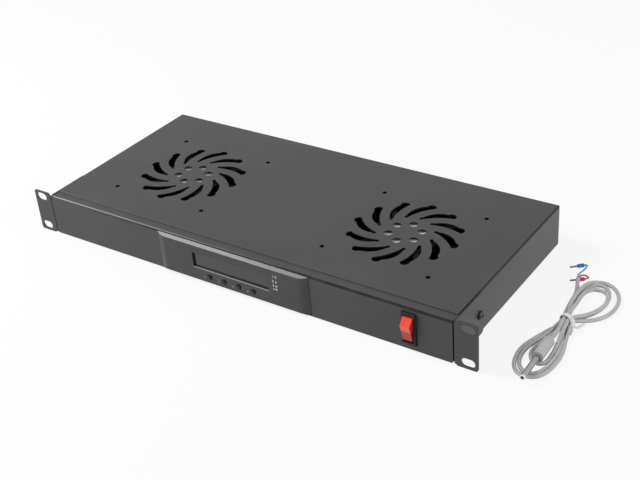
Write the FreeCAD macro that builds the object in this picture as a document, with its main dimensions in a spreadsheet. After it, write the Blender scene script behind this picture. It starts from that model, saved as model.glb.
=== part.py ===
import FreeCAD, Part
import math
import os
import Sketcher
from FreeCAD import Placement, Rotation, Vector

# A 1U fan tray for a 19 inch rack: two 120 mm axial fans in a flat sheet steel case, a small digital
# thermostat and a rocker switch on the front, a mains inlet and a probe terminal at the back, and a
# loose temperature probe lead. Millimetres. The origin is the middle of the four rack slots, on the rear
# face of the ears, which is the face that meets the rack. +X is to the right seen from the front, +Y
# runs back into the rack and +Z is up.

os.makedirs("parts", exist_ok=True)
doc = FreeCAD.newDocument("FanTray")
sheet = doc.addObject("Spreadsheet::Sheet", "Sizes")


class Amount:
    """A length, angle or count together with the sheet formula that gives it."""

    def __init__(self, value, formula):
        self.value = value
        self.formula = formula

    def join(self, other, sign, result, swapped=False):
        first, second = (other, self) if swapped else (self, other)
        return Amount(result(first.value, second.value), f"({first.formula} {sign} {second.formula})")

    def __add__(self, other):
        return self.join(amount(other), "+", lambda a, b: a + b)

    def __radd__(self, other):
        return self.join(amount(other), "+", lambda a, b: a + b, swapped=True)

    def __sub__(self, other):
        return self.join(amount(other), "-", lambda a, b: a - b)

    def __rsub__(self, other):
        return self.join(amount(other), "-", lambda a, b: a - b, swapped=True)

    def __mul__(self, other):
        return self.join(amount(other), "*", lambda a, b: a * b)

    def __rmul__(self, other):
        return self.join(amount(other), "*", lambda a, b: a * b, swapped=True)

    def __truediv__(self, other):
        return self.join(amount(other), "/", lambda a, b: a / b)

    def __neg__(self):
        return Amount(-self.value, f"(0 - {self.formula})")


def amount(thing):
    """Turns a plain number into an amount, and leaves an amount as it is."""
    if isinstance(thing, Amount):
        return thing
    return Amount(float(thing), f"{float(thing):.6g}")


def cosine(angle):
    return Amount(math.cos(math.radians(angle.value)), f"cos({angle.formula})")


def sine(angle):
    return Amount(math.sin(math.radians(angle.value)), f"sin({angle.formula})")


sheet_rows = []


def size(alias, value):
    """Writes one driving dimension into the sheet and gives it back as an amount."""
    sheet_rows.append(alias)
    place = len(sheet_rows)
    sheet.set(f"A{place}", alias)
    sheet.set(f"B{place}", str(value))
    sheet.setAlias(f"B{place}", alias)
    return Amount(float(value), f"Sizes.{alias}")


# Rack fit: the ears and their slots follow the 19 inch rack, one unit high
rack_width = size("rack_width", 482.6)
ear_height = size("ear_height", 43.66)
ear_sheet = size("ear_sheet", 1.5)
ear_corner = size("ear_corner", 2.2)
slot_spacing_x = size("slot_spacing_x", 465.1)
slot_spacing_z = size("slot_spacing_z", 31.75)
slot_length = size("slot_length", 12.5)
slot_width = size("slot_width", 8.0)
flange_depth = size("flange_depth", 47.4)
flange_height = size("flange_height", 39.8)
flange_drop = size("flange_drop", 0.5)
flange_corner = size("flange_corner", 4.0)
ear_screw_setback = size("ear_screw_setback", 41.2)

# Case: a folded tray with a lip all round its top, and a flat cover on the lip
chassis_width = size("chassis_width", 439.0)
chassis_depth = size("chassis_depth", 197.6)
chassis_height = size("chassis_height", 40.2)
chassis_lift = size("chassis_lift", 0.8)
chassis_sheet = size("chassis_sheet", 1.0)
bend_radius = size("bend_radius", 1.6)
lip_front = size("lip_front", 24.0)
lip_side = size("lip_side", 12.0)
lip_rear = size("lip_rear", 10.0)
cover_sheet = size("cover_sheet", 1.0)
cover_setback = size("cover_setback", 9.5)
cover_inset = size("cover_inset", 0.5)
cover_skirt = size("cover_skirt", 7.0)
cover_gap = size("cover_gap", 0.1)
cover_screw_spread = size("cover_screw_spread", 150.0)
hook_spread = size("hook_spread", 130.0)
hook_width = size("hook_width", 14.0)
hook_reach = size("hook_reach", 8.0)

# Vents: comma shaped slots in a ring, round holes over the hub, and the four fan holes
fan_spread = size("fan_spread", 120.0)
fan_setback = size("fan_setback", 95.5)
vent_count = size("vent_count", 12)
vent_start = size("vent_start", 30.0)
vent_outer_radius = size("vent_outer_radius", 47.7)
vent_inner_radius = size("vent_inner_radius", 27.1)
vent_sweep = size("vent_sweep", 27.3)
vent_outer_width = size("vent_outer_width", 8.9)
vent_inner_width = size("vent_inner_width", 3.9)
vent_bow = size("vent_bow", 3.1)
hub_hole_count = size("hub_hole_count", 6)
hub_hole_circle = size("hub_hole_circle", 14.8)
hub_hole_radius = size("hub_hole_radius", 4.0)
floor_mouth_radius = size("floor_mouth_radius", 52.0)

# Fans: 120 mm square, 38 mm deep, with the label side up
fan_size = size("fan_size", 120.0)
fan_depth = size("fan_depth", 38.0)
fan_corner = size("fan_corner", 7.0)
fan_hole_spacing = size("fan_hole_spacing", 105.0)
fan_hole_radius = size("fan_hole_radius", 2.2)
fan_bore_radius = size("fan_bore_radius", 57.0)
fan_duct_wall = size("fan_duct_wall", 2.4)
fan_flange = size("fan_flange", 5.0)
carrier_radius = size("carrier_radius", 32.0)
carrier_sheet = size("carrier_sheet", 3.0)
strut_count = size("strut_count", 4)
strut_width = size("strut_width", 6.0)
tube_radius = size("tube_radius", 7.0)
tube_length = size("tube_length", 24.0)
bearing_radius = size("bearing_radius", 5.0)
bearing_length = size("bearing_length", 5.0)
shaft_radius = size("shaft_radius", 1.5)
shaft_clearance = size("shaft_clearance", 0.06)
stator_radius = size("stator_radius", 24.0)
stator_length = size("stator_length", 16.0)
rotor_radius = size("rotor_radius", 31.0)
rotor_wall = size("rotor_wall", 3.0)
rotor_length = size("rotor_length", 28.0)
rotor_gap = size("rotor_gap", 1.0)
blade_count = size("blade_count", 5)
blade_tip_gap = size("blade_tip_gap", 1.2)
blade_thickness = size("blade_thickness", 1.8)
blade_chord = size("blade_chord", 34.0)
blade_root_pitch = size("blade_root_pitch", 48.0)
blade_tip_pitch = size("blade_tip_pitch", 28.0)
blade_camber = size("blade_camber", 3.0)
label_radius = size("label_radius", 23.0)
label_sheet = size("label_sheet", 0.3)
label_recess = size("label_recess", 1.0)
label_gap = size("label_gap", 0.3)

# Front panel and the moulded controller bezel on it
panel_width = size("panel_width", 438.1)
panel_height = size("panel_height", 39.45)
panel_lift = size("panel_lift", 0.95)
panel_sheet = size("panel_sheet", 1.5)
panel_corner = size("panel_corner", 1.6)
display_cutout_width = size("display_cutout_width", 120.0)
display_cutout_height = size("display_cutout_height", 30.0)
stud_radius = size("stud_radius", 1.5)
stud_length = size("stud_length", 6.5)
stud_inner_spread = size("stud_inner_spread", 100.0)
stud_outer_spread = size("stud_outer_spread", 206.0)
bezel_width = size("bezel_width", 166.0)
bezel_height = size("bezel_height", 39.2)
bezel_depth = size("bezel_depth", 3.0)
bezel_bevel = size("bezel_bevel", 1.8)
bezel_end_run = size("bezel_end_run", 10.0)
bezel_wall = size("bezel_wall", 2.0)
bezel_screw_x = size("bezel_screw_x", 70.0)
bezel_screw_z = size("bezel_screw_z", 10.0)
boss_x = size("boss_x", 52.0)
boss_z = size("boss_z", 10.5)
boss_radius = size("boss_radius", 2.6)
window_width = size("window_width", 84.0)
window_height = size("window_height", 15.0)
window_rise = size("window_rise", 1.6)
lens_margin = size("lens_margin", 1.5)
lens_sheet = size("lens_sheet", 1.5)
board_setback = size("board_setback", 6.0)
board_sheet = size("board_sheet", 1.6)
board_width = size("board_width", 114.0)
board_height = size("board_height", 29.4)

# Push buttons and the small switches behind them
button_spacing = size("button_spacing", 16.2)
button_drop = size("button_drop", 12.8)
button_radius = size("button_radius", 2.35)
button_clearance = size("button_clearance", 0.3)
button_proud = size("button_proud", 1.0)
button_collar_radius = size("button_collar_radius", 3.2)
button_collar_length = size("button_collar_length", 0.9)
button_stem_radius = size("button_stem_radius", 1.4)
button_travel = size("button_travel", 0.5)
tact_width = size("tact_width", 6.0)
tact_height = size("tact_height", 3.5)
plunger_radius = size("plunger_radius", 1.7)
plunger_length = size("plunger_length", 1.6)

# Rocker switch
switch_x = size("switch_x", 180.0)
switch_frame_width = size("switch_frame_width", 13.4)
switch_frame_height = size("switch_frame_height", 30.5)
switch_frame_depth = size("switch_frame_depth", 2.0)
switch_body_width = size("switch_body_width", 11.2)
switch_body_height = size("switch_body_height", 27.4)
switch_body_depth = size("switch_body_depth", 14.0)
switch_cutout_gap = size("switch_cutout_gap", 0.15)
rocker_width = size("rocker_width", 9.0)
rocker_clearance = size("rocker_clearance", 0.2)
rocker_face_half = size("rocker_face_half", 7.8)
rocker_face_rise = size("rocker_face_rise", 8.05)
rocker_end_half = size("rocker_end_half", 12.46)
rocker_end_rise = size("rocker_end_rise", 1.84)
rocker_dish = size("rocker_dish", 0.5)
rocker_hub_radius = size("rocker_hub_radius", 3.4)
rocker_end_gap = size("rocker_end_gap", 0.3)
rocker_tilt = size("rocker_tilt", 14.0)
pivot_setback = size("pivot_setback", 0.5)
pivot_radius = size("pivot_radius", 1.5)
pivot_clearance = size("pivot_clearance", 0.05)
pivot_stub = size("pivot_stub", 0.9)
tab_width = size("tab_width", 4.8)
tab_sheet = size("tab_sheet", 0.8)
tab_length = size("tab_length", 9.0)
tab_spacing = size("tab_spacing", 8.0)

# Mains inlet and probe terminal in the rear wall
inlet_x = size("inlet_x", 150.0)
inlet_drop = size("inlet_drop", 3.0)
inlet_flange_width = size("inlet_flange_width", 50.0)
inlet_flange_height = size("inlet_flange_height", 22.5)
inlet_flange_sheet = size("inlet_flange_sheet", 2.5)
inlet_body_width = size("inlet_body_width", 27.6)
inlet_body_height = size("inlet_body_height", 19.8)
inlet_body_depth = size("inlet_body_depth", 18.5)
inlet_mouth_width = size("inlet_mouth_width", 24.6)
inlet_mouth_height = size("inlet_mouth_height", 16.6)
inlet_mouth_depth = size("inlet_mouth_depth", 16.0)
inlet_mouth_cant = size("inlet_mouth_cant", 4.5)
inlet_screw_spacing = size("inlet_screw_spacing", 40.0)
pin_spacing = size("pin_spacing", 7.0)
pin_rise = size("pin_rise", 2.0)
pin_width = size("pin_width", 4.0)
pin_sheet = size("pin_sheet", 2.0)
pin_length = size("pin_length", 11.0)
terminal_x = size("terminal_x", -150.0)
terminal_width = size("terminal_width", 13.0)
terminal_height = size("terminal_height", 13.0)
terminal_depth = size("terminal_depth", 12.0)
terminal_proud = size("terminal_proud", 2.4)
terminal_pitch = size("terminal_pitch", 5.08)
terminal_entry_radius = size("terminal_entry_radius", 1.3)
terminal_row = size("terminal_row", 3.0)

# Screws and nuts: the threads are plain cylinders
screw_radius = size("screw_radius", 1.5)
screw_hole_gap = size("screw_hole_gap", 0.2)
screw_head_radius = size("screw_head_radius", 2.8)
screw_head_height = size("screw_head_height", 1.8)
ear_screw_radius = size("ear_screw_radius", 2.0)
ear_screw_head_radius = size("ear_screw_head_radius", 4.0)
ear_screw_head_height = size("ear_screw_head_height", 2.4)
ear_screw_length = size("ear_screw_length", 7.0)
fan_screw_radius = size("fan_screw_radius", 2.0)
fan_screw_head_radius = size("fan_screw_head_radius", 3.4)
fan_screw_length = size("fan_screw_length", 10.0)
nut_radius = size("nut_radius", 3.1)
nut_height = size("nut_height", 2.4)

# Probe lead: a grey cable tied in a figure of eight, on the surface that the ears stand on
lead_diameter = size("lead_diameter", 3.5)
hank_height = size("hank_height", 8.0)
sleeve_radius = size("sleeve_radius", 4.8)
sleeve_length = size("sleeve_length", 25.0)
probe_radius = size("probe_radius", 2.5)
probe_length = size("probe_length", 30.5)
core_radius = size("core_radius", 0.75)
collar_radius = size("collar_radius", 1.7)
collar_length = size("collar_length", 5.6)
crimp_radius = size("crimp_radius", 0.8)
crimp_length = size("crimp_length", 7.0)

doc.recompute()


# Levels and faces that several pieces share
standing_level = -ear_height / 2
floor_under = standing_level + chassis_lift
floor_top = floor_under + chassis_sheet
lip_top = floor_under + chassis_height
lip_under = lip_top - chassis_sheet
cover_top = lip_top + cover_sheet
half_width = chassis_width / 2
panel_front = -panel_sheet
panel_middle = standing_level + panel_lift + panel_height / 2
wall_back = chassis_sheet
rear_face = chassis_depth
fan_top = floor_top + fan_depth


def bind(item, prop, thing):
    """Ties one property of an object to the sheet."""
    item.setExpression(prop, amount(thing).formula)


def put(item, x, y, z):
    """Ties an object's place to the sheet."""
    bind(item, "Placement.Base.x", x)
    bind(item, "Placement.Base.y", y)
    bind(item, "Placement.Base.z", z)


def cuboid(name, x, y, z):
    """A block between a low and a high amount along each axis."""
    item = doc.addObject("Part::Box", name)
    bind(item, "Length", x[1] - amount(x[0]))
    bind(item, "Width", y[1] - amount(y[0]))
    bind(item, "Height", z[1] - amount(z[0]))
    put(item, x[0], y[0], z[0])
    return item


TURNED = {
    "+x": Rotation(Vector(0, 1, 0), 90),
    "-x": Rotation(Vector(0, 1, 0), -90),
    "+y": Rotation(Vector(1, 0, 0), -90),
    "-y": Rotation(Vector(1, 0, 0), 90),
    "+z": Rotation(),
    "-z": Rotation(Vector(1, 0, 0), 180),
}


def rod(name, radius, length, start, way):
    """A cylinder from a start point along one of the six ways."""
    item = doc.addObject("Part::Cylinder", name)
    item.Placement = Placement(Vector(), TURNED[way])
    bind(item, "Radius", radius)
    bind(item, "Height", length)
    put(item, *start)
    return item


def taper(name, near_radius, far_radius, length, start, way):
    """A cone frustum from a start point along one of the six ways."""
    item = doc.addObject("Part::Cone", name)
    item.Placement = Placement(Vector(), TURNED[way])
    bind(item, "Radius1", near_radius)
    bind(item, "Radius2", far_radius)
    bind(item, "Height", length)
    put(item, *start)
    return item


def hexagon(name, radius, length, start, way):
    """A six sided prism, across its corners twice the radius."""
    item = doc.addObject("Part::Prism", name)
    item.Polygon = 6
    item.Placement = Placement(Vector(), TURNED[way])
    bind(item, "Circumradius", radius)
    bind(item, "Height", length)
    put(item, *start)
    return item


def join(name, items):
    item = doc.addObject("Part::MultiFuse", name)
    item.Shapes = items
    item.Refine = True
    return item


def cut(name, base, tools):
    """Takes one or more tools away from a base."""
    item = doc.addObject("Part::Cut", name)
    item.Base = base
    item.Tool = tools[0] if len(tools) == 1 else join(name + "_tools", tools)
    item.Refine = True
    return item


def common(name, first, second):
    item = doc.addObject("Part::Common", name)
    item.Base = first
    item.Tool = second
    item.Refine = True
    return item


def collect(name, items):
    """Like pieces that are one node but stay separate solids."""
    item = doc.addObject("Part::Compound", name)
    item.Links = items
    return item


def rounded(name, base, radius, wanted):
    """Rounds the edges of a base that a test picks by their two end points."""
    doc.recompute()
    item = doc.addObject("Part::Fillet", name)
    item.Base = base
    picked = []
    for index, edge in enumerate(base.Shape.Edges, start=1):
        ends = [vertex.Point for vertex in edge.Vertexes]
        if len(ends) == 2 and wanted(ends[0], ends[1]):
            picked.append((index, radius.value, radius.value))
    if not picked:
        raise RuntimeError(name + " found no edge to round")
    item.Edges = picked
    return item


def near(one, other):
    return abs(one - amount(other).value) < 1e-4


class Arc:
    """Marks the stretch from this corner to the next as an arc: left is +1 or -1, the centre's side."""

    def __init__(self, radius, left):
        self.radius = radius
        self.left = left


def draw(sketch, corners):
    """Draws a closed outline and ties each corner and arc radius to the sheet."""
    points = [Vector(amount(c[0]).value, amount(c[1]).value, 0) for c in corners]
    count = len(corners)
    first_new = sketch.GeometryCount
    for place, corner in enumerate(corners):
        start = points[place]
        end = points[(place + 1) % count]
        if len(corner) == 3:
            chord = end - start
            side = Vector(-chord.y, chord.x, 0).normalize() * corner[2].left
            sag = corner[2].radius.value - math.sqrt(corner[2].radius.value ** 2 - chord.Length ** 2 / 4)
            sketch.addGeometry(Part.Arc(start, (start + end) / 2 - side * sag, end))
        else:
            sketch.addGeometry(Part.LineSegment(start, end))
    heads = []
    tails = []
    for place in range(count):
        shape = sketch.Geometry[first_new + place]
        forward = (shape.StartPoint - points[place]).Length < (shape.EndPoint - points[place]).Length
        heads.append(1 if forward else 2)
        tails.append(2 if forward else 1)
    for place, corner in enumerate(corners):
        edge = first_new + place
        after = (place + 1) % count
        sketch.addConstraint(
            Sketcher.Constraint("Coincident", edge, tails[place], first_new + after, heads[after]))
        for kind, value, axis in (("DistanceX", corner[0], -2), ("DistanceY", corner[1], -1)):
            value = amount(value)
            if value.value == 0 and "Sizes" not in value.formula:
                sketch.addConstraint(Sketcher.Constraint("PointOnObject", edge, heads[place], axis))
                continue
            tie = sketch.addConstraint(
                Sketcher.Constraint(kind, -1, 1, edge, heads[place], value.value))
            sketch.renameConstraint(tie, f"{kind[-1].lower()}_{edge}")
            bind(sketch, f"Constraints.{kind[-1].lower()}_{edge}", value)
        if len(corner) == 3:
            tie = sketch.addConstraint(Sketcher.Constraint("Radius", edge, corner[2].radius.value))
            sketch.renameConstraint(tie, f"radius_{edge}")
            bind(sketch, f"Constraints.radius_{edge}", corner[2].radius)


def rectangle(u, v):
    return [(u[0], v[0]), (u[1], v[0]), (u[1], v[1]), (u[0], v[1])]


def profile(body, name, plane, shift, outlines):
    """A sketch on one of a body's own planes, moved along the plane's normal."""
    sketch = body.newObject("Sketcher::SketchObject", name)
    support = [item for item in body.Origin.OriginFeatures if item.Role == plane][0]
    sketch.AttachmentSupport = [(support, "")]
    sketch.MapMode = "FlatFace"
    bind(sketch, "AttachmentOffset.Base.z", shift)
    for corners in outlines:
        draw(sketch, corners)
    return sketch


def pad(body, name, sketch, length, reverse=False):
    item = body.newObject("PartDesign::Pad", name)
    item.Profile = sketch
    bind(item, "Length", length)
    item.Reversed = reverse
    doc.recompute()
    return item


def pocket(body, name, sketch, length=None, reverse=False):
    """A pocket of a given depth, or right through both ways."""
    before = body.Tip.Shape.Volume
    item = body.newObject("PartDesign::Pocket", name)
    item.Profile = sketch
    if length is None:
        item.Type = "ThroughAll"
        item.Midplane = True
    else:
        bind(item, "Length", length)
        item.Reversed = reverse
    doc.recompute()
    if item.Shape.Volume > before - 1e-3:
        raise RuntimeError(name + " takes nothing away")
    return item


def soften(body, name, radius, wanted):
    """Fillets the edges of a body's last feature that a test picks by their end points."""
    doc.recompute()
    base = body.Tip
    names = []
    for index, edge in enumerate(base.Shape.Edges, start=1):
        ends = [vertex.Point for vertex in edge.Vertexes]
        if len(ends) == 2 and wanted(ends[0], ends[1]):
            names.append(f"Edge{index}")
    if not names:
        raise RuntimeError(name + " found no edge to round")
    item = body.newObject("PartDesign::Fillet", name)
    item.Base = (base, names)
    bind(item, "Radius", radius)
    doc.recompute()
    return item


def solid_of_shape(name, shape):
    """A piece whose form no plain feature fits, from a shape worked out with the sheet's values."""
    item = doc.addObject("Part::Feature", name)
    item.Shape = shape
    return item


nodes = {}


def node(name, item):
    """Gives a finished sub-part the label that names its file."""
    item.Label = name
    nodes[name] = item
    return item


SIDES = (("left", -1), ("right", 1))


# Vents: one comma shaped slot, from two end circles and a bowed middle, repeated round the hub
def vent_slot_face():
    spoke = Vector(vent_outer_radius.value, 0, 0)
    sweep = math.radians(vent_sweep.value)
    inner = Vector(math.cos(sweep), math.sin(sweep), 0) * vent_inner_radius.value
    along = (inner - spoke).normalize()
    across = Vector(along.y, -along.x, 0)
    middle = (spoke + inner) / 2 + across * vent_bow.value
    wide = vent_outer_width.value / 2
    narrow = vent_inner_width.value / 2
    waist = (wide + narrow) / 2 + 0.1 * vent_bow.value
    turn = 4 * vent_bow.value / (inner - spoke).Length
    wide_across = Rotation(Vector(0, 0, 1), math.degrees(turn)).multVec(across)
    narrow_across = Rotation(Vector(0, 0, 1), -math.degrees(turn)).multVec(across)
    outer_end = Rotation(Vector(0, 0, 1), math.degrees(turn)).multVec(along) * -wide
    inner_end = Rotation(Vector(0, 0, 1), -math.degrees(turn)).multVec(along) * narrow
    edges = [
        Part.Arc(spoke + wide_across * wide, middle + across * waist, inner + narrow_across * narrow),
        Part.Arc(inner + narrow_across * narrow, inner + inner_end, inner - narrow_across * narrow),
        Part.Arc(inner - narrow_across * narrow, middle - across * waist, spoke - wide_across * wide),
        Part.Arc(spoke - wide_across * wide, spoke + outer_end, spoke + wide_across * wide),
    ]
    return Part.Face(Part.Wire([edge.toShape() for edge in edges]))


def vent_cutter(name, side, level, thickness):
    """All the openings of one vent pattern, as prisms through one sheet."""
    depth = Vector(0, 0, thickness.value)
    face = vent_slot_face()
    prisms = []
    for turn in range(int(vent_count.value)):
        slot = face.copy()
        angle = vent_start.value + turn * 360 / vent_count.value
        slot.rotate(Vector(), Vector(0, 0, 1), angle)
        prisms.append(slot.extrude(depth))
    for turn in range(int(hub_hole_count.value)):
        angle = math.radians(turn * 360 / hub_hole_count.value + 90)
        centre = Vector(math.cos(angle), math.sin(angle), 0) * hub_hole_circle.value
        prisms.append(Part.makeCylinder(hub_hole_radius.value, thickness.value, centre))
    cutter = solid_of_shape(name, Part.makeCompound(prisms))
    put(cutter, side * fan_spread, fan_setback, level)
    return cutter


def fan_corners(side):
    """The four screw places of one fan."""
    half = fan_hole_spacing / 2
    middle = side * fan_spread
    return [(middle + u * half, fan_setback + v * half) for u in (-1, 1) for v in (-1, 1)]


# Chassis tray: folded from one sheet, with walls, a lip all round and cut-outs front and rear
tray = doc.addObject("PartDesign::Body", "tray")
pad(tray, "tray_block",
    profile(tray, "tray_plan", "XY_Plane", floor_under,
            [rectangle((-half_width, half_width), (0, rear_face))]),
    chassis_height)
soften(tray, "tray_bends", bend_radius,
       lambda a, b: near(a.z, b.z) and near(a.x, b.x) and near(abs(a.x), half_width))
soften(tray, "tray_front_bend", bend_radius,
       lambda a, b: near(a.z, lip_top) and near(b.z, lip_top) and near(a.y, 0) and near(b.y, 0))
pocket(tray, "tray_inside",
       profile(tray, "inside_outline", "XZ_Plane", -wall_back,
               [rectangle((-half_width + chassis_sheet, half_width - chassis_sheet),
                          (floor_top, lip_under))]),
       chassis_depth - 2 * chassis_sheet)
pocket(tray, "tray_mouth",
       profile(tray, "mouth_outline", "XY_Plane", lip_top,
               [rectangle((-half_width + lip_side, half_width - lip_side),
                          (lip_front, rear_face - lip_rear))]),
       chassis_sheet)

front_cuts = [
    cuboid("display_opening",
           (-display_cutout_width / 2, display_cutout_width / 2),
           (panel_front - 1, wall_back + 1),
           (panel_middle - display_cutout_height / 2, panel_middle + display_cutout_height / 2)),
    cuboid("switch_opening",
           (switch_x - switch_body_width / 2 - switch_cutout_gap,
            switch_x + switch_body_width / 2 + switch_cutout_gap),
           (panel_front - 1, wall_back + 1),
           (-switch_body_height / 2 - switch_cutout_gap, switch_body_height / 2 + switch_cutout_gap)),
]
bezel_screw_places = []
for u in (-1, 1):
    for v in (-1, 1):
        bezel_screw_places.append((u * bezel_screw_x, panel_middle + v * bezel_screw_z))
for place, (x, z) in enumerate(bezel_screw_places):
    front_cuts.append(rod(f"bezel_screw_hole_{place}", screw_radius + screw_hole_gap,
                          panel_sheet + wall_back + 2, (x, panel_front - 1, z), "+y"))
stud_places = [u * spread for spread in (stud_inner_spread, stud_outer_spread) for u in (-1, 1)]
tray_cuts = list(front_cuts)
for place, x in enumerate(stud_places):
    tray_cuts.append(rod(f"stud_hole_{place}", stud_radius + screw_hole_gap, wall_back + 2,
                         (x, -1, panel_middle), "+y"))
tray_cuts.append(cuboid("inlet_opening",
                        (inlet_x - inlet_body_width / 2 - screw_hole_gap,
                         inlet_x + inlet_body_width / 2 + screw_hole_gap),
                        (rear_face - chassis_sheet - 1, rear_face + 1),
                        (-inlet_drop - inlet_body_height / 2 - screw_hole_gap,
                         -inlet_drop + inlet_body_height / 2 + screw_hole_gap)))
tray_cuts.append(cuboid("terminal_opening",
                        (terminal_x - terminal_width / 2, terminal_x + terminal_width / 2),
                        (rear_face - chassis_sheet - 1, rear_face + 1),
                        (-inlet_drop - terminal_height / 2, -inlet_drop + terminal_height / 2)))
for side, sign in SIDES:
    tray_cuts.append(rod(f"floor_mouth_{side}", floor_mouth_radius, 3 * chassis_sheet,
                         (sign * fan_spread, fan_setback, floor_under - chassis_sheet), "+z"))
    tray_cuts.append(rod(f"ear_screw_hole_{side}", ear_screw_radius + screw_hole_gap, 2 * chassis_sheet,
                         (sign * (half_width - 1.5 * chassis_sheet), ear_screw_setback, -flange_drop),
                         "+x" if sign > 0 else "-x"))
    tray_cuts.append(rod(f"inlet_screw_hole_{side}", screw_radius + screw_hole_gap, 3 * chassis_sheet,
                         (inlet_x + sign * inlet_screw_spacing / 2, rear_face - 2 * chassis_sheet,
                          -inlet_drop), "+y"))
    for place, (x, y) in enumerate(fan_corners(sign)):
        tray_cuts.append(taper(f"fan_screw_sink_{side}_{place}", fan_screw_head_radius,
                               fan_screw_head_radius - chassis_sheet, chassis_sheet,
                               (x, y, floor_under), "+z"))
cover_screw_places = (-cover_screw_spread, amount(0), cover_screw_spread)
cover_screw_level = cover_top - cover_sheet - cover_skirt / 2
for place, x in enumerate(cover_screw_places):
    tray_cuts.append(rod(f"cover_screw_hole_{place}", screw_radius + screw_hole_gap, 3 * chassis_sheet,
                         (x, rear_face - 2 * chassis_sheet, cover_screw_level), "+y"))
node("chassis_tray", cut("chassis_tray_cut", tray, tray_cuts))


# Top cover: a flat sheet on the lip, folded down behind the rear wall, with two hooks under the lip
cover_half = half_width - cover_inset
skirt_outside = rear_face + cover_gap + cover_sheet
cover = doc.addObject("PartDesign::Body", "cover")
pad(cover, "cover_sheet_and_skirt",
    profile(cover, "cover_section", "YZ_Plane", -cover_half,
            [[(cover_setback, lip_top), (skirt_outside - cover_sheet, lip_top),
              (skirt_outside - cover_sheet, lip_top - cover_skirt),
              (skirt_outside, lip_top - cover_skirt), (skirt_outside, cover_top),
              (cover_setback, cover_top)]]),
    2 * cover_half)
soften(cover, "cover_rear_bend", bend_radius,
       lambda a, b: all(near(p.z, cover_top) and near(p.y, skirt_outside) for p in (a, b)))
hooks = []
for side, sign in SIDES:
    middle = sign * hook_spread
    hook_top = lip_under - cover_gap
    hooks.append(cuboid(f"hook_drop_{side}", (middle - hook_width / 2, middle + hook_width / 2),
                        (lip_front + cover_gap, lip_front + cover_gap + cover_sheet),
                        (hook_top - cover_sheet, lip_top)))
    hooks.append(cuboid(f"hook_tongue_{side}", (middle - hook_width / 2, middle + hook_width / 2),
                        (lip_front - hook_reach, lip_front + cover_gap + cover_sheet),
                        (hook_top - cover_sheet, hook_top)))
cover_cuts = []
for side, sign in SIDES:
    cover_cuts.append(vent_cutter(f"cover_vent_{side}", sign, lip_top, cover_sheet))
    for place, (x, y) in enumerate(fan_corners(sign)):
        cover_cuts.append(rod(f"cover_fan_hole_{side}_{place}", fan_hole_radius, 3 * cover_sheet,
                              (x, y, lip_top - cover_sheet), "+z"))
for place, x in enumerate(cover_screw_places):
    cover_cuts.append(rod(f"skirt_hole_{place}", screw_radius + screw_hole_gap, 3 * cover_sheet,
                          (x, rear_face - cover_sheet, cover_screw_level), "+y"))
node("top_cover", cut("top_cover_cut", join("cover_with_hooks", [cover] + hooks), cover_cuts))


def pan_screw(name, start, way, radius, length, head_radius, head_height, crossed=True):
    """A pan head screw: start is the middle of the face that its head rests on, way is where it goes."""
    back = {"+x": "-x", "-x": "+x", "+y": "-y", "-y": "+y"}[way]
    sign = 1 if back[0] == "+" else -1
    skirt_height = head_height * 0.55
    spot = list(start)
    axis = "xyz".index(back[1])
    spot[axis] = spot[axis] + sign * skirt_height
    thread = rod(name + "_thread", radius, length, start, way)
    if not crossed:
        return join(name, [rod(name + "_head", head_radius, head_height, start, back), thread])
    skirt = rod(name + "_skirt", head_radius, skirt_height, start, back)
    crown = taper(name + "_crown", head_radius, head_radius * 0.62, head_height - skirt_height, spot, back)
    blank = join(name + "_blank", [skirt, crown, thread])
    recess = []
    for turn in (0, 1):
        low = []
        high = []
        for place in range(3):
            reach = head_radius * (0.5 if (place + turn) % 2 else 0.11)
            if place == axis:
                ends = (start[place] + sign * head_height * 0.5, start[place] + sign * (head_height + 1))
            else:
                ends = (start[place] - reach, start[place] + reach)
            ends = sorted([amount(end) for end in ends], key=lambda end: end.value)
            low.append(ends[0])
            high.append(ends[1])
        recess.append(cuboid(f"{name}_recess_{turn}", (low[0], high[0]), (low[1], high[1]),
                             (low[2], high[2])))
    return cut(name, blank, recess)


node("cover_screws", collect("cover_screw_set", [
    pan_screw(f"cover_screw_{place}", (x, skirt_outside, cover_screw_level), "-y", screw_radius,
              amount(7), screw_head_radius, screw_head_height)
    for place, x in enumerate(cover_screw_places)]))


# Front panel: a flat plate with rounded corners and four studs pressed in its rear face
panel = doc.addObject("PartDesign::Body", "panel")
panel_low = panel_middle - panel_height / 2
panel_high = panel_middle + panel_height / 2
pad(panel, "panel_plate",
    profile(panel, "panel_outline", "XZ_Plane", 0,
            [rectangle((-panel_width / 2, panel_width / 2), (panel_low, panel_high))]),
    panel_sheet)
soften(panel, "panel_corners", panel_corner,
       lambda a, b: near(a.x, b.x) and near(a.z, b.z))
panel_cut = cut("panel_with_openings", panel, front_cuts)
studs = [rod(f"panel_stud_{place}", stud_radius, stud_length + panel_sheet / 2,
             (x, -panel_sheet / 2, panel_middle), "+y") for place, x in enumerate(stud_places)]
node("front_panel", join("front_panel_plate", [panel_cut] + studs))
panel_nuts = []
for place, x in enumerate(stud_places):
    blank = hexagon(f"panel_nut_blank_{place}", nut_radius, nut_height, (x, wall_back, panel_middle), "+y")
    hole = rod(f"panel_nut_hole_{place}", stud_radius, nut_height + 2,
               (x, wall_back - 1, panel_middle), "+y")
    panel_nuts.append(cut(f"panel_nut_{place}", blank, [hole]))
node("panel_nuts", collect("panel_nut_set", panel_nuts))


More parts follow.
